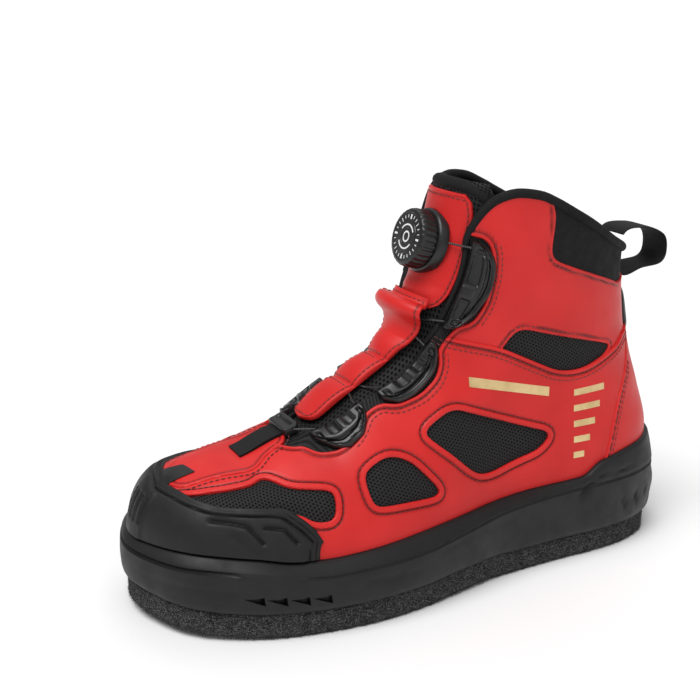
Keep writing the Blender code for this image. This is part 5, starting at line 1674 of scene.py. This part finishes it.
TREAD_SIDES = 56
TREAD_ROWS = ((1.0, 9.0), (1.0, 1.5), (0.985, 1.0), (0.93, 0.8), (0.6, 0.8), (0.25, 0.8))
vertices, faces = [], []
for outline in tread_outlines(0, TREAD_SIDES):
    middle = outline.mean(0)
    faces += ring_faces(len(TREAD_ROWS), TREAD_SIDES, len(vertices), True)
    for grow, depth in TREAD_ROWS:
        vertices += [(x, y, float(lift(to_along(y))) + depth * MM)
                     for x, y in middle + (outline - middle) * grow]
    faces.append(tuple(range(len(vertices) - 1, len(vertices) - TREAD_SIDES - 1, -1)))
add_piece("tread_pads", vertices, faces, TREAD, 40)

inset = UPPER_INSET + UPPER_WALL + 3 * GAP
rows = [fine_loop(inset + 1 * MM, lambda a: cup_floor(a) + GAP),
        fine_loop(inset, lambda a: cup_floor(a) + 1.5 * MM),
        fine_loop(inset, lambda a: cup_floor(a) + GAP + 3.2 * MM),
        fine_loop(inset + 0.8 * MM, lambda a: cup_floor(a) + GAP + 4.0 * MM),
        fine_loop(inset + 6 * MM, lambda a: cup_floor(a) + GAP + 3.6 * MM)]
loops_piece("footbed_pad", rows, FOOTBED, ("insole",))


# Toe guard
def grid_fields(grid):
    """Distances in metres from each point of a grid to its four borders."""
    left = np.stack([walked(row) for row in grid])
    low = np.stack([walked(grid[:, k]) for k in range(grid.shape[1])], 1)
    return left, left[:, -1:] - left, low, low[-1:] - low


def grid_edge(grid):
    """Distance in metres from each point of a grid to its nearest border."""
    return np.minimum.reduce(grid_fields(grid))


def sheet_mesh(grid, out=None):
    """Mesh of a grid of points with its place on the cloth."""
    at = grid.reshape(-1, 3)
    left, right, low, high = grid_fields(grid)
    middle = grid.shape[1] // 2
    return {"at": at, "out": normals(at) if out is None else out,
            "uv": np.stack([(left - left[:, middle:middle + 1]).ravel(), low.ravel()], 1),
            "faces": grid_triangles(grid.shape[0], grid.shape[1])}


CAP_FINE = 330
# Block at the toe guard's tip with four upright grooves: places across in mm
BLOCK_MIDDLE, FIRST_BAR, BAR_PITCH = -6.0, -12.5, 4.3
rim = station_loop(UPPER_INSET, lambda a: rim_height(a) + GAP, 0.0, CAP_FINE, 0.002)
along = to_along(rim[:, 1])
limit = TOE_CAP["bottom"][-1]
half_rim = len(rim) // 2
on_lateral = [i for i in range(half_rim) if along[i] <= limit]
on_medial = [i for i in range(half_rim, len(rim)) if along[i] <= limit]
bottom = rim[on_medial + on_lateral]
sign = np.array([-1] * len(on_medial) + [1] * len(on_lateral))
place = to_along(bottom[:, 1])
place = (place - place.min()) / (place.max() - place.min()) * limit
crest = settle(np.stack([
    smooth(TOE_CAP["bottom"], TOE_CAP["across"], place) * BALL_WIDTH / 2 * sign,
    to_y(smooth(TOE_CAP["bottom"], TOE_CAP["along"], place)),
    FOOT_FLOOR + smooth(TOE_CAP["bottom"], TOE_CAP["height"], place) * INSTEP_HEIGHT], 1))
cap = drape_grid(bottom, crest, 56)
left, right, low, high = grid_fields(cap)
points = cap.reshape(-1, 3)
edge = np.minimum(np.minimum(left, right), high).ravel() / MM
rise = 1.4 + 1.6 * ease(2.6, 3.1, edge) - 0.9 * bell(edge, 5.2, 0.6)
rise += 0.35 * ease(5.4, 6.4, edge) + lip_shape(edge, 0.8)
# Painted shade: how much the rubber is darkened in the guard's ledge groove, side grooves and
# upright bars
hollow_shade = 0.9 * bell(edge, 5.2, 0.6) + 0.8 * bell(edge, 2.7, 0.4)
mirrored = np.column_stack([np.abs(points[:, 0]), points[:, 1:]])
for line, wide, depth in (
        (((32.6, .089, 58.8), (37, .112, 58.2), (41.5, .138, 56.4), (46.8, .156, 48.8)), 1.0, 1.5),
        (((44.4, .162, 55.6), (47.3, .191, 53.9), (50.8, .207, 47.7)), 0.9, 1.4),
        (((40, .115, 52), (46.0, .15, 44.5)), 2.2, 0.5)):
    trough = bell(line_gap(mirrored, shaft_line(line)), 0, wide * MM)
    rise -= depth * trough
    hollow_shade = np.maximum(hollow_shade, trough * min(0.9, depth))
cap_x, cap_z = points[:, 0] / MM, points[:, 2] / MM
rise += 0.45 * plateau(to_along(points[:, 1]), .16, .20, .225, .235) * ease(6.5, 8.0, edge)
block = (1 - ease(8.0, 9.2, np.abs(cap_x - BLOCK_MIDDLE))) * ease(6.5, 7.5, edge)
rise += 0.7 * block * ease(38, 39.5, cap_z)
for x0 in np.arange(4) * BAR_PITCH + FIRST_BAR:
    bar = bell(cap_x, x0, 1.1, 4) * plateau(cap_z, 48, 49, 59, 60)
    rise -= 0.8 * bar
    hollow_shade = np.maximum(hollow_shade, 0.6 * bar)
rise = np.where(low.ravel() < 0.3 * MM, np.minimum(rise, 1.9), rise)
mesh = sheet_mesh(cap)
# The painted shade of the hollows goes to the rubber's colour through the groove field
mesh["groove"] = np.clip(hollow_shade, 0, 0.9)
overlay("toe_guard", mesh, SEAT - 0.2 * MM + rise * MM, -1.1 * MM, RUBBER,
        ("groove",), replaces=("toe_cap",), sharp=45)


# Front: tongue, plate, strap and webbing
def band_places(rows, rows_fine, columns):
    """Fine grid of places up the front and round it, from a band's table."""
    up = np.linspace(rows["up"][0], rows["up"][-1], rows_fine)
    left = smooth(rows["up"], rows["left"], up)
    right = smooth(rows["up"], rows["right"], up)
    across = np.linspace(0, 1, columns)
    side = left[:, None] + (right - left)[:, None] * across
    return np.broadcast_to(up[:, None], side.shape), side


def front_grid(up, side):
    """Grid of points at places on the front, with its outward directions in one list."""
    grid = front_point(up.ravel(), side.ravel()).reshape(side.shape + (3,))
    return grid, normals(grid.reshape(-1, 3))


def pad(name, grid, out, thick, round_edge, middle, swell, crown, material, replaces):
    """Padded closed body under a grid: rounded borders and a swollen middle."""
    rows, columns = grid.shape[:2]
    edge = grid_edge(grid)
    roundness = 1 + lip_shape(edge, round_edge) / round_edge
    top = middle + thick / 2 * roundness + swell * ease(0, 12 * MM, edge)
    top = top + crown * ease(0, 3 * MM, edge)
    under = middle - thick / 2 * roundness
    at = grid.reshape(-1, 3)
    count = len(at)
    tri = grid_triangles(rows, columns)
    number = np.arange(count).reshape(rows, columns)
    loop = np.concatenate([number[0], number[1:, -1], number[-1, -2::-1], number[-2:0:-1, 0]])
    wall = [(b, a, a + count, b + count) for a, b in zip(loop, np.roll(loop, -1))]
    faces = [tuple(f) for f in tri] + [tuple(f) for f in tri[:, ::-1] + count] + wall
    uv = sheet_mesh(grid, out)["uv"]
    skins = [at + out * level.reshape(-1, 1) for level in (top, under)]
    return add_piece(name, np.concatenate(skins), faces, material, 75, None,
                     np.concatenate([uv, uv]), None, replaces)


TONGUE_TOP = -UPPER_WALL - 2 * SEAT
TONGUE_THICK = 5 * MM
up, side = band_places(TONGUE, 150, 70)
grid, out = front_grid(up, side)
sunk = TONGUE_TOP - ease(0.55, 0.68, up) * 1.2 * MM - TONGUE_THICK / 2
channels = np.zeros(up.shape)
for place in (0.36, 0.45, 0.54):
    channels -= 0.5 * MM * bell((up - place) * 213, 6 * np.abs(side), 1.6)
tongue = pad("tongue_pad", grid, out, TONGUE_THICK, 3.2 * MM, sunk, 0.4 * MM, channels, SPACER,
             ("tongue",))

# Smooth roll along the tongue's top edge
across = np.linspace(-1, 1, 90)
base_line = front_point(0.958 - 0.03 * across**4, 1.12 * across)
out = normals(base_line)
roll = add_tubes("tongue_roll", [base_line + out * (TONGUE_TOP - 3.6 * MM)], 3.4 * MM, 20,
                 NEOPRENE, sharp=60, out=out)


plate_low = TONGUE_TOP - 1.2 * MM + SEAT
plate_high = plate_low + 1.6 * MM
up, side = band_places(TONGUE_PLATE, 110, 80)
grid, out = front_grid(up, side)
wave = (0.35 * MM * np.sin(up * 60 + side * 2.0) * ease(0.55, 0.9, np.abs(side))
        + 0.25 * MM * bell(up, 0.70, 0.012) - 0.2 * MM * bell(up, 0.725, 0.01))
plate_top = grid + (out * (plate_high + wave.ravel())[:, None]).reshape(grid.shape)
plate_skin = (plate_top.reshape(-1, 3), out)
edge = grid_edge(grid).ravel() / MM
mesh = sheet_mesh(grid, out)
# Painted shade: the red is darkened along the sewn groove inside the plate's edge
mesh["groove"] = 0.6 * bell(edge, 2.4, 0.4)
rise = plate_high + (lip_shape(edge, 0.6) - 0.15 * bell(edge, 2.4, 0.5)) * MM + wave.ravel()
overlay("dial_plate", mesh, rise, plate_low - 0.8 * MM, RED, ("groove",), uv="uv",
        replaces=("tongue_plate",), sharp=45)

# The strip lies flat up the tongue, folds out in a loop and comes back to the plate
lace_middle = TONGUE_TOP + 2 * GAP + 0.8 * MM
strip_low = lace_middle + 0.8 * MM + 1.5 * SEAT
FOLD = np.array([
    (0.285, 0.0), (0.33, 0.0), (0.38, 0.0), (0.43, 0.0), (0.48, 0.0), (0.53, 0.1), (0.57, 0.3),
    (0.600, 0.8), (0.618, 2.0), (0.630, 4.2), (0.637, 6.6), (0.645, 8.3), (0.656, 8.9),
    (0.666, 8.0), (0.671, 6.0), (0.669, 3.8), (0.670, 2.0), (0.677, 0.7), (0.690, 0.1)])
reach = walked(FOLD * (FRONT_REACH[-1], MM))
even = np.linspace(0, reach[-1], 170)


def read_fold(values):
    """Smooth reading of one coordinate of the fold at even steps."""
    index = np.interp(even, reach, np.arange(len(reach)))
    i = np.clip(index.astype(int), 0, len(values) - 2)
    near = (values[np.clip(i + k, 0, len(values) - 1)] for k in (-1, 0, 1, 2))
    return spline(*near, index - i)


STRAP_THICK = 1.6 * MM
STRAP_SEAMS = (0.30, 0.52)
fold_up, fold_rise = read_fold(FOLD[:, 0]), read_fold(FOLD[:, 1] * MM)
rows = TONGUE_STRIP["up"]
sides = [smooth(rows, TONGUE_STRIP[key], np.clip(fold_up, rows[0], rows[-1])) - wider
         for key, wider in (("left", 0.07), ("right", 0))]
start = np.clip(even / (7 * MM), 0, 1)
middle_side = sum(sides) / 2
left, right = (middle_side + (edge - middle_side) * np.sqrt(1 - (1 - start)**2).clip(0.15)
               for edge in sides)
side = left[:, None] + (right - left)[:, None] * np.linspace(0, 1, 44)
grid, out = front_grid(np.broadcast_to(fold_up[:, None], side.shape), side)
spine = grid + out.reshape(grid.shape) * (strip_low + 0.8 * MM + fold_rise)[:, None, None]
turned = unit(np.cross(np.gradient(spine, axis=1), np.gradient(spine, axis=0)))
edge = np.minimum.reduce(grid_fields(spine)[:3]).ravel() / MM
part = even / reach[-1]
sag = sum(-0.6 * MM * bell(part, seam, 0.012) for seam in STRAP_SEAMS)
billow = sum(high * MM * np.sin(np.clip((part - first) / long, 0, 1) * np.pi)**0.8
             for high, first, long in ((2.6, 0.31, 0.21), (2.4, 0.02, 0.28), (1.6, 0.53, 0.13)))
round_over = 1 - 0.45 * np.abs(np.linspace(-1, 1, side.shape[1]))**3
shape = sag[:, None] + billow[:, None] * round_over
mesh = sheet_mesh(spine, turned.reshape(-1, 3))
# Painted shade: the red is darkened along the sewn groove inside the strap's edge
mesh["groove"] = 0.6 * bell(edge, 2.2, 0.4)
strip_high = STRAP_THICK / 2 + shape.ravel() + lip_shape(edge, 0.6) * MM
overlay("tongue_strap", mesh, strip_high, -STRAP_THICK / 2, RED, ("groove",),
        uv="uv", replaces=("tongue_strip",), sharp=60)
back = {**mesh, "faces": mesh["faces"][:, ::-1]}
overlay("tongue_strap_back", back, -STRAP_THICK / 2, -STRAP_THICK / 2, NEOPRENE,
        uv="uv", sharp=60)


def inner_loop(grid, inset):
    """Closed line on a grid at a distance from its borders."""
    left, _, low, high = grid_fields(grid)
    middle = grid.shape[1] // 2
    chosen = np.nonzero((low[:, middle] >= inset) & (high[:, middle] >= inset))[0]

    def spot(row, distance):
        return read_line(grid[row], left[row], distance)

    first, last = chosen[0], chosen[-1]
    ends = [spot(row, np.linspace(inset, left[row, -1] - inset, 24)) for row in (first, last)]
    lefts = np.array([spot(row, inset) for row in chosen])
    rights = np.array([spot(row, left[row, -1] - inset) for row in chosen])
    return np.concatenate([lefts, ends[1], rights[::-1], ends[0][::-1]])


front_stitches = Stitches()
strap_top = spine + turned * strip_high.reshape(side.shape)[:, :, None]
skin = (strap_top.reshape(-1, 3), turned.reshape(-1, 3))
front_stitches.run(inner_loop(strap_top, 2.2 * MM), 0.1 * MM, closed=True, out=skin)
for seam in STRAP_SEAMS:
    row = int(seam * (len(even) - 1))
    for step in (-3, 3):
        front_stitches.run(strap_top[row + step, 5:-5], 0.1 * MM, out=skin)
front_stitches.run(inner_loop(plate_top, 2.4 * MM), 0.1 * MM, closed=True, out=plate_skin)
front_stitches.make("front_stitches", RED_THREAD)

up, side = band_places(FRONT_WEBBING, 70, 16)
lifted = 0.55 * MM * np.sin(np.clip((up - 0.13) / 0.10, 0, 1) * np.pi)
overlay("vamp_webbing", sheet_mesh(*front_grid(up, side)), 2.1 * MM + lifted.ravel(), 0.6 * MM,
        WEBBING, uv="uv", replaces=("front_webbing",), sharp=50)


# Lace guides, laces and dial
def guide(name, rows, mirrored, style, replaces):
    """Moulded lace guide: a thin flange, a raised body with recesses, a long slot and two holes."""
    up, side = band_places(rows, 96, 40)
    u = (up - rows["up"][0]) / (rows["up"][-1] - rows["up"][0])
    v = np.broadcast_to(np.linspace(0, 1, side.shape[1]), side.shape)
    if mirrored:
        up, side, u, v = up[:, ::-1], -side[:, ::-1], u[:, ::-1], v[:, ::-1]
    grid, out = front_grid(up, side)
    left, right = (field / MM for field in grid_fields(grid)[:2])
    edge = grid_edge(grid) / MM
    inner, outer = (right, left) if mirrored else (left, right)
    body = 1 - ease(0.60, 0.68, v)
    height = 1.5 + 1.7 * body + 0.9 * bell(outer, 1.4, 0.8) * (1 - body)
    height -= 1.5 * (1 - ease(0.55, 0.95, np.abs(outer - 4.1))) * plateau(u, 0.14, 0.17, 0.83, 0.86)
    if style == "tall":
        recess = plateau(u, 0.13, 0.15, 0.38, 0.40) + plateau(u, 0.55, 0.57, 0.86, 0.88)
        height -= recess * ease(1.2, 1.8, inner) * (1 - ease(0.46, 0.52, v))
        height += 0.5 * plateau(u, 0.41, 0.43, 0.52, 0.54) * (1 - ease(0.40, 0.50, v))
    else:
        for centre in (0.36, 0.66):
            height -= 1.9 * bell(u, centre, 0.085, 4) * (1 - ease(0.42, 0.52, v))
        height += 0.35 * bell(u, 0.51, 0.05) * (1 - ease(0.45, 0.55, v))
    for centre in (0.10, 0.90):
        height -= 1.6 * bell(u, centre, 0.035, 4) * bell(v, 0.42, 0.20, 4)
    height = np.maximum(height, 0.5) + lip_shape(edge, 1.0)
    overlay(name, sheet_mesh(grid, out), (0.35 + height.ravel()) * MM, -1.0 * MM, PLASTIC,
            replaces=(replaces,), sharp=40)


for low_name, rows, style in (("low", GUIDE_LOW, "short"), ("mid", GUIDE_MID, "short"),
                              ("high", GUIDE_HIGH, "tall")):
    for side_name in ("lateral", "medial"):
        guide(f"lace_guide_{low_name}_{side_name}", rows, side_name == "medial", style,
              f"guide_{low_name}_{side_name}")

grid, out = front_grid(*band_places(GUIDE_FRONT, 40, 60))
left, right, _, high = (field / MM for field in grid_fields(grid))
trough = bell(high, 4.4, 1.3, 4) * ease(2, 3, left) * ease(2, 3, right)
height = 4.7 + lip_shape(grid_edge(grid) / MM, 1.1) - 0.9 * trough
overlay("lace_guide_front", sheet_mesh(grid, out), height.ravel() * MM, 0.4 * MM, PLASTIC,
        replaces=("guide_front",), sharp=40)

LACE = 0.55 * MM
end_height = 2.1 * MM


def lace_run(start, end, sign, low):
    """Run of lace over the front from one side to the other, at another height in its middle."""
    share = np.linspace(0, 1, 60)
    up = start[0] + (end[0] - start[0]) * share
    side = sign * (start[1] + (-end[1] - start[1]) * share)
    drop = np.minimum(1, 1.6 * (1 - (2 * share - 1)**2))
    return front_point(up, side, end_height + (low - end_height) * drop)


def straight(start, end, rises, sign):
    """Short run of lace on the front between two places, at a height that changes evenly."""
    share = np.linspace(0, 1, 20)
    up, side, rise = (a + (b - a) * share for a, b in (*zip(start, end), rises))
    return front_point(up, sign * side, rise)


for name, (start, end) in (("high", LACE_HIGH), ("low", LACE_LOW)):
    runs = [lace_run(start, end, sign, lace_middle + higher)
            for sign, higher in ((1, 0), (-1, 2 * LACE))]
    add_tubes(f"lace_cross_{name}", runs, LACE, 10, CABLE,
              (f"lace_crossing_{name}",))
dial_up, dial_end = LACE_DIAL[0][0], (LACE_DIAL[1][0], LACE_DIAL[1][1] + 0.06)
for name, sign in (("lateral", 1), ("medial", -1)):
    for piece, node, start, end, rises in (
            ("lace_low", "lace_front", *LACE_FRONT, (end_height, 3.6 * MM)),
            ("lace_to_dial", "lace_dial", (dial_up, 0.42), dial_end,
             (plate_high + GAP + 0.8 * MM, end_height))):
        add_tubes(f"{piece}_{name}", [straight(start, end, rises, sign)], LACE, 10, CABLE,
                  (f"{node}_{name}",))

dial_axis = normals(front_point([DIAL_UP], [0.0]))[0]
dial_seat = front_point([DIAL_UP], [0.0], plate_high)[0]
base_profile = ((16.6, -2.6), (16.6, 1.6), (16.3, 2.2), (15.4, 2.9), (14.9, 3.0), (14.4, 2.7))
turned_pieces("dial_bezel", base_profile, 96, PLASTIC, [dial_seat], dial_axis,
              ("dial_base",), sharp=35)
RIBS_ROUND = 30


def knob_ribs(angle, k):
    """Change of the wheel's radius in mm round one row of its profile."""
    depth = (0.0, 0.45, 0.55, 0.55, 0.45, 0.2, 0, 0, 0, 0, 0, 0, 0, 0)[k]
    wave = np.cos(RIBS_ROUND * angle)
    return -depth * (0.5 - 0.5 * np.sign(wave) * np.abs(wave)**0.35)


knob_profile = ((14.6, 3.2), (15.0, 3.8), (15.0, 5.5), (15.0, 9.3), (14.8, 10.4), (14.3, 11.3),
                (13.5, 11.9), (12.6, 12.1), (12.2, 11.8), (8.2, 11.95), (7.9, 12.25), (4.6, 12.35),
                (4.3, 12.1), (1.2, 12.15))
turned_pieces("dial_wheel", knob_profile, 240, PLASTIC, [dial_seat], dial_axis,
              ("dial_knob",), knob_ribs, 35)


def face_point(radius, angle, height):
    """Point over the dial's face."""
    across = np.array([1.0, 0.0, 0.0])
    other = np.cross(dial_axis, across)
    return (dial_seat + dial_axis * height * MM
            + radius * MM * (across * math.cos(angle) + other * math.sin(angle)))


def add_dial_marks():
    """Plain marks on the dial's face: ticks round it, two arcs and a ring."""
    vertices, faces = [], []

    def bar(r0, r1, a0, a1, steps=1, height=12.02):
        """Mark between two radii in mm and two angles, in as many steps as its bend needs."""
        for k in range(steps):
            b0 = a0 + (a1 - a0) * k / steps
            b1 = a0 + (a1 - a0) * (k + 1) / steps
            first = len(vertices)
            corners = ((r0, b0), (r1, b0), (r1, b1), (r0, b1))
            vertices.extend(face_point(r, a, z) for z in (height - 0.2, height) for r, a in corners)
            faces.append(tuple(first + i for i in (4, 5, 6, 7)))
            faces.extend(ring_faces(2, 4, first))

    for k in range(24):
        a = 2 * math.pi * k / 24
        if k % 6:
            bar(9.6 if k % 3 else 9.0, 11.2, a - 0.018, a + 0.018)
        else:
            bar(8.9, 11.4, a - 0.05, a + 0.05)
    bar(5.7, 6.5, 0.5, 2.6, 14, 12.37)
    bar(5.7, 6.5, 3.64, 5.75, 14, 12.37)
    bar(2.1, 2.9, 0.0, 2 * math.pi, 28, 12.22)
    add_piece("dial_marks", vertices, faces, WHITE, 30)


add_dial_marks()


# Collar, pull loop and heel clip
whole_edge = edge_at(np.linspace(0.30, 1.0, 150))
path = np.concatenate([whole_edge, settle(mirror(whole_edge[::-1]), rounds=4)[1:]])
path = resample(path, 2.2 * MM)
out = normals(path)
away = unit(np.cross(out, np.gradient(path, axis=0)))
away *= np.sign((away * (path - np.array([0, to_y(0.70), 120 * MM]))).sum(1))[:, None]
share = np.linspace(0, 1, len(path))
ends = np.minimum(share, 1 - share) / 0.5
size = 2.5 * MM * (0.55 + 0.45 * ease(0.12, 0.42, ends))
centre = path - out * 1.3 * MM + away * (size * 0.62)[:, None]
collar_roll = add_tubes("collar_roll", [centre], size, 22, NEOPRENE,
                        ("collar_binding",), 60, out)

LOOP_WIDTH, LOOP_REACH = 20 * MM, 30 * MM
seat_rows = shaft_point([180, 180], (0.755 * SHAFT_HEIGHT, 0.645 * SHAFT_HEIGHT))
high_seat, low_seat = seat_rows
mid_z = (high_seat[2] + low_seat[2]) / 2
tall = high_seat[2] - low_seat[2]
loop_line = closed_curve([
    (high_seat[1], high_seat[2]),
    (high_seat[1] + 0.45 * LOOP_REACH, high_seat[2] + 0.12 * tall),
    (high_seat[1] + 0.90 * LOOP_REACH, high_seat[2] - 0.10 * tall),
    (high_seat[1] + LOOP_REACH, mid_z),
    (high_seat[1] + 0.90 * LOOP_REACH, low_seat[2] + 0.18 * tall),
    (low_seat[1] + 0.45 * LOOP_REACH, low_seat[2] + 0.10 * tall),
    (low_seat[1], low_seat[2])], 14)[:85]
ahead = unit(np.gradient(loop_line, axis=0))
side_way = np.stack([-ahead[:, 1], ahead[:, 0]], 1)
across = np.linspace(-1, 1, 15)
LOOP_UNDER, LOOP_TOP, LOOP_ROUNDING = 0.15 * MM, 1.55 * MM, 0.5 * MM
layers = []
for height, rounding in ((LOOP_UNDER, LOOP_ROUNDING), (LOOP_TOP, -LOOP_ROUNDING)):
    rise = height + rounding * np.abs(across)**8
    flat = loop_line[:, None] + side_way[:, None] * rise[:, None]
    x = np.broadcast_to(across * LOOP_WIDTH / 2, flat.shape[:2])
    layers.append(np.concatenate([x[..., None], flat], -1).reshape(-1, 3))
rows_count, columns_count = len(loop_line), len(across)
count = rows_count * columns_count
tri = grid_triangles(rows_count, columns_count)
faces = [*tri, *(tri[:, ::-1] + count)]
for first in (0, columns_count - 1):
    for a in range(first, first + count - columns_count, columns_count):
        b = a + columns_count
        faces.append((a, b, b + count, a + count) if first == 0 else (b, a, a + count, b + count))
uv = np.stack(np.broadcast_arrays(across * LOOP_WIDTH / 2, walked(loop_line)[:, None]), -1)
add_piece("pull_webbing", np.concatenate(layers), faces, WEBBING, 50, None,
          np.concatenate([uv, uv]).reshape(-1, 2), None, ("pull_loop",))

CLIP_RINGS = 14
corners = np.array([(-9, 0.47), (9, 0.47), (11, 0.53), (7, 0.60), (-7, 0.60), (-11, 0.53)])
edge = closed_curve(corners, 12)
clip_edge = shaft_point(180 - edge[:, 0], edge[:, 1] * SHAFT_HEIGHT)
clip_centre = settle(clip_edge.mean(0)[None])
rings = [settle(clip_edge + (clip_centre - clip_edge) * k / CLIP_RINGS)
         for k in range(1, CLIP_RINGS)]
at = np.concatenate([clip_edge, *rings, clip_centre])
count = len(clip_edge)
inner = (CLIP_RINGS - 1) * count + np.arange(count)
fan = np.stack([inner, np.roll(inner, -1), np.full(count, len(at) - 1)], 1)
tri = np.concatenate([grid_triangles(CLIP_RINGS, count, True), fan])[:, ::-1]
ring = np.append(np.repeat(np.arange(CLIP_RINGS), count), CLIP_RINGS) / CLIP_RINGS
rise = 1.3 + 1.2 * ease(0.0, 0.12, ring) - 0.7 * bell(ring, 0.42, 0.06)
rise = rise - 0.5 * ease(0.55, 0.65, ring) * (0.5 + 0.5 * np.sign(np.sin(at[:, 2] / MM * 2.4)))
overlay("heel_clip", {"at": at, "out": normals(at), "faces": tri}, rise * MM, -0.5 * MM, PLASTIC,
        replaces=("heel_tab",))


# Floor, light and camera
def direction(azimuth, elevation):
    """Direction from the boot to a place round it, with both angles in degrees."""
    a, e = math.radians(azimuth), math.radians(elevation)
    return Vector((math.sin(a) * math.cos(e), -math.cos(a) * math.cos(e), math.sin(e)))


def add_floor():
    """Wide light floor with a faint change of tone."""
    size = 60.0
    mesh = bpy.data.meshes.new("floor")
    mesh.from_pydata([(-size, -size, 0), (size, -size, 0), (size, size, 0), (-size, size, 0)], [],
                     [(0, 1, 2, 3)])
    f = Finish("floor", (0.88, 0.88, 0.88), 0.9)
    f.colour(f.blend(f.noise(3, 2), (0.875, 0.875, 0.875), (0.89, 0.89, 0.89)))
    mesh.materials.append(f.material)
    piece = bpy.data.objects.new("floor", mesh)
    bpy.context.collection.objects.link(piece)


def add_sun(name, azimuth, elevation, strength, softness, colour=(1, 1, 1)):
    """Soft distant light from a direction round the boot, in degrees."""
    data = bpy.data.lights.new(name, "SUN")
    data.energy = strength
    data.angle = math.radians(softness)
    data.color = colour
    lamp = bpy.data.objects.new(name, data)
    lamp.rotation_euler = direction(azimuth, elevation).to_track_quat("Z", "Y").to_euler()
    bpy.context.collection.objects.link(lamp)


VIEW_ROUND, VIEW_UP, VIEW_ROLL, VIEW_AWAY = 62, 17.4, math.radians(0.7), 0.625
PHOTO_PIXELS, FOCAL_PIXELS, SENSOR = 700, 1243, 36


def add_camera():
    """Camera at the photograph's angle, as fitted to the outline of the sole in it."""
    target = np.array([0, -36, 120.5]) * MM + SHIFT
    back, right = direction(VIEW_ROUND, VIEW_UP), direction(VIEW_ROUND + 90, 0)
    up = back.cross(right)
    turned_right = right * math.cos(VIEW_ROLL) + up * math.sin(VIEW_ROLL)
    turned_up = back.cross(turned_right)
    data = bpy.data.cameras.new("camera")
    data.sensor_width = SENSOR
    data.lens = FOCAL_PIXELS / PHOTO_PIXELS * SENSOR
    data.clip_start = 0.01
    camera = bpy.data.objects.new("camera", data)
    turn = Matrix((turned_right, turned_up, back)).transposed()
    camera.matrix_world = Matrix.Translation(Vector(target) + back * VIEW_AWAY) @ turn.to_4x4()
    bpy.context.collection.objects.link(camera)
    bpy.context.scene.camera = camera


add_floor()
add_sun("key", 20, 64, 2.4, 38)
add_sun("fill", 95, 40, 0.5, 60)
add_sun("back", 230, 50, 0.5, 60)
world = bpy.data.worlds.new("studio")
world.use_nodes = True
world.node_tree.nodes["Background"].inputs[0].default_value = (1, 1, 1, 1)
world.node_tree.nodes["Background"].inputs[1].default_value = 0.34
bpy.context.scene.world = world
bpy.context.scene.view_settings.view_transform = "Standard"
add_camera()
